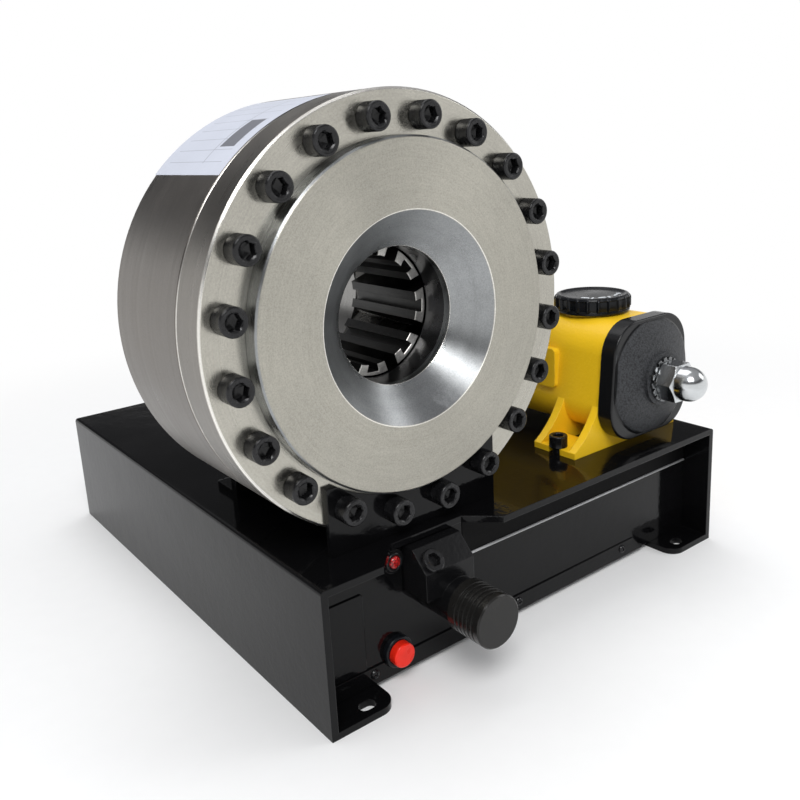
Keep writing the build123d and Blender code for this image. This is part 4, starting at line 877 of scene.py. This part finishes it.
def filler_cap():
    """Screw cap: smooth foot ring, ridged skirt with hollow panels, scalloped rim and a sunk top."""
    low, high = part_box("filler_cap")
    radius = (high[0] - low[0]) / 2
    height = high[2] - low[2]
    ridges, per = 22, 16

    def wave(kind, angle, r):
        phase = (angle * ridges / (2 * math.pi)) % 1.0
        gap = abs(phase - 0.5) * 2
        hollow = (1 - min(1.0, max(0.0, (gap - 0.72) / 0.16))) * (0.055 if kind == 1 else 0.018)
        return r * (1 - hollow - (0.012 * (1 - gap * gap) if kind == 1 and gap < 0.72 else 0.0))

    rings = [(radius * 0.80, 0.0), (radius * 0.945, 0.0), (radius * 0.965, height * 0.03),
             (radius * 0.965, height * 0.13),
             (radius * 0.940, height * 0.16), (radius * 0.940, height * 0.19), (radius * 0.992, height * 0.22, 1),
             (radius, height * 0.26, 1), (radius, height * 0.50, 1), (radius, height * 0.74, 1),
             (radius * 0.995, height * 0.80, 1),
             (radius * 0.985, height * 0.85, 2), (radius * 0.965, height * 0.915, 2), (radius * 0.94, height * 0.965),
             (radius * 0.91, height * 0.993), (radius * 0.88, height), (radius * 0.85, height * 0.995),
             (radius * 0.825, height * 0.955), (radius * 0.80, height * 0.93), (radius * 0.50, height * 0.935),
             (radius * 0.20, height * 0.94), (radius * 0.03, height * 0.94)]
    shape = lathe(rings, ridges * per, wave)
    parts = Parts()
    seat = aim(UP, ((low[0] + high[0]) / 2, (low[1] + high[1]) / 2, low[2]))
    parts.add(shape, seat)
    return piece("filler_cap_detail", parts.verts, parts.faces, CAP_PLASTIC, "filler_cap", "filler_cap", 32.0)


def cap_marks():
    """Three small pale angled dashes raised on the filler cap's top, with no lettering."""
    low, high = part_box("filler_cap")
    cx, cy = (low[0] + high[0]) / 2, (low[1] + high[1]) / 2
    radius = (high[0] - low[0]) / 2
    top = low[2] + (high[2] - low[2]) * 0.935
    parts = Parts()
    for turn, size in ((203.0, 0.0080), (243.0, 0.0075), (290.0, 0.0080)):
        angle = math.radians(turn)
        reach = radius * 0.64
        seat = Matrix.Translation((cx + reach * math.cos(angle), cy + reach * math.sin(angle), top))
        seat = seat @ Matrix.Rotation(angle + math.pi / 2, 4, "Z")
        parts.add(bar(size, 0.0020, 0.0006), seat)
        parts.add(bar(0.0020, 0.0040, 0.0006), seat @ Matrix.Translation((size * 0.8, 0.0, 0.0)))
    obj = piece("filler_cap_marks", parts.verts, parts.faces, MARK_WHITE, None, "filler_cap")
    return obj


star_washer()
filler_cap()
cap_marks()


# ---------------------------------------------------------------- sticker on the cylinder
STICKER_ANGLES = (100.0, 137.2)
STICKER_DEPTHS = (0.0010, 0.0955)
STICKER_LIFTS = (0.00003, 0.00018)


def sticker():
    """Thin blank sticker wrapped on the cylinder's upper left."""
    start, end = (math.radians(angle) for angle in STICKER_ANGLES)
    front, back = (BODY_LOW[1] + depth for depth in STICKER_DEPTHS)
    low_r, high_r = (BODY_R + lift for lift in STICKER_LIFTS)
    rows, cols = 40, 12
    verts, faces, uvs = [], [], []
    for level in (low_r, high_r):
        for i in range(rows + 1):
            a = start + (end - start) * i / rows
            for j in range(cols + 1):
                y = front + (back - front) * j / cols + 0.0012 * (i / rows - 0.5)
                verts.append((HEAD_X + level * math.cos(a), y, HEAD_Z + level * math.sin(a)))
                uvs.append((j / cols, i / rows))
    step = cols + 1
    half = step * (rows + 1)
    for i in range(rows):
        for j in range(cols):
            q = [i * step + j, i * step + j + 1, (i + 1) * step + j + 1, (i + 1) * step + j]
            faces.append(tuple(half + v for v in q))
            faces.append(tuple(reversed(q)))
    edge = [i * step for i in range(rows + 1)] + [rows * step + j for j in range(1, step)]
    edge += [i * step + cols for i in range(rows - 1, -1, -1)] + list(range(cols - 1, 0, -1))
    for k, a in enumerate(edge):
        b = edge[(k + 1) % len(edge)]
        faces.append((a, b, half + b, half + a))
    obj = piece("sticker", verts, faces, PAPER, None)
    layer = obj.data.uv_layers.new(name="sheet")
    for loop in obj.data.loops:
        layer.data[loop.index].uv = uvs[loop.vertex_index]
    return obj


sticker()


# ---------------------------------------------------------------- stage and light
def light_path_mask(nodes, links):
    """1 for rays that show the background: from the camera, off gloss or through glass."""
    path = nodes.new("ShaderNodeLightPath")
    total = None
    for name in ("Is Camera Ray", "Is Glossy Ray", "Is Transmission Ray"):
        if total is None:
            total = path.outputs[name]
            continue
        add = nodes.new("ShaderNodeMath")
        add.operation = "MAXIMUM"
        links.new(total, add.inputs[0])
        links.new(path.outputs[name], add.inputs[1])
        total = add.outputs[0]
    return total, path


def make_floor():
    """Plain pale floor that keeps the shadow and fades to the white background further out."""
    mesh = bpy.data.meshes.new("floor")
    size = 30.0
    mesh.from_pydata([(-size, -size, 0), (size, -size, 0), (size, size, 0), (-size, size, 0)], [], [(0, 1, 2, 3)])
    floor = bpy.data.objects.new("floor", mesh)
    bpy.context.scene.collection.objects.link(floor)
    g = Graph("floor")
    speck = g.noise(g.place(), 60.0, 3.0, 0.5)
    g.set(Base_Color=g.shade((0.93, 0.93, 0.93), g.span(speck, 0.3, 0.7, 0.995, 1.005)), Roughness=0.7,
          Specular_IOR_Level=0.1)
    distance = g.add("ShaderNodeVectorMath", {0: g.place()}, operation="LENGTH").outputs["Value"]
    mask, _ = light_path_mask(g.nodes, g.links)
    fac = g.math("MULTIPLY", g.span(distance, 0.42, 1.00, smooth=True), mask)
    glow = g.add("ShaderNodeEmission", {"Color": (1.0, 1.0, 1.0, 1.0), "Strength": 1.0})
    mixed = g.add("ShaderNodeMixShader", {0: fac, 1: g.bsdf.outputs[0], 2: glow.outputs[0]})
    g.links.new(mixed.outputs[0], g.nodes["Material Output"].inputs["Surface"])
    mesh.materials.append(g.mat)


def make_world():
    """White background for the camera, gloss and glass; plain soft room light for everything else."""
    world = bpy.data.worlds.new("world")
    world.use_nodes = True
    bpy.context.scene.world = world
    tree = world.node_tree
    back = tree.nodes["Background"]
    coord = tree.nodes.new("ShaderNodeTexCoord")
    sep = tree.nodes.new("ShaderNodeSeparateXYZ")
    ramp = tree.nodes.new("ShaderNodeValToRGB")
    tree.links.new(coord.outputs["Generated"], sep.inputs[0])
    tree.links.new(sep.outputs["Z"], ramp.inputs[0])
    stops = ramp.color_ramp.elements
    stops[0].position = 0.20
    stops[0].color = (1.0, 1.0, 1.0, 1.0)
    stops[1].position = 1.0
    stops[1].color = (0.42, 0.42, 0.43, 1.0)
    for position, level in ((0.27, 0.08), (0.42, 0.08), (0.55, 0.36)):
        stop = stops.new(position)
        stop.color = (level, level, level * 1.03, 1.0)
    mask, path = light_path_mask(tree.nodes, tree.links)
    white = tree.nodes.new("ShaderNodeMix")
    white.data_type = "RGBA"
    tree.links.new(path.outputs["Is Camera Ray"], white.inputs[0])
    tree.links.new(ramp.outputs[0], white.inputs[6])
    white.inputs[7].default_value = (1.0, 1.0, 1.0, 1.0)
    room = tree.nodes.new("ShaderNodeMix")
    room.data_type = "RGBA"
    tree.links.new(mask, room.inputs[0])
    room.inputs[6].default_value = (0.58, 0.585, 0.595, 1.0)
    tree.links.new(white.outputs[2], room.inputs[7])
    tree.links.new(room.outputs[2], back.inputs["Color"])
    back.inputs["Strength"].default_value = 1.0


def area_light(name, place, target, size, power, colour=(1.0, 1.0, 1.0)):
    """Soft rectangular lamp aimed at a point."""
    data = bpy.data.lights.new(name, "AREA")
    data.shape = "RECTANGLE"
    data.size, data.size_y = size
    data.energy = power
    data.color = colour
    lamp = bpy.data.objects.new(name, data)
    bpy.context.scene.collection.objects.link(lamp)
    lamp.location = place
    direction = Vector(target) - Vector(place)
    lamp.rotation_euler = direction.to_track_quat("-Z", "Y").to_euler()
    return lamp


make_floor()
make_world()
LAMPS = (
    ("key", (-0.86, -1.32, 1.67), (0.0, -0.1, 0.15), (1.0, 0.8), 24.0),
    ("fill", (1.8, -1.2, 1.2), (0.0, 0.0, 0.15), (0.9, 0.9), 7.0),
    ("top", (0.1, 0.5, 2.3), (0.0, 0.0, 0.1), (1.5, 1.5), 13.0))
for lamp_name, lamp_place, lamp_target, lamp_size, lamp_power in LAMPS:
    area_light(lamp_name, lamp_place, lamp_target, lamp_size, lamp_power)

bpy.context.scene.view_settings.view_transform = "Standard"
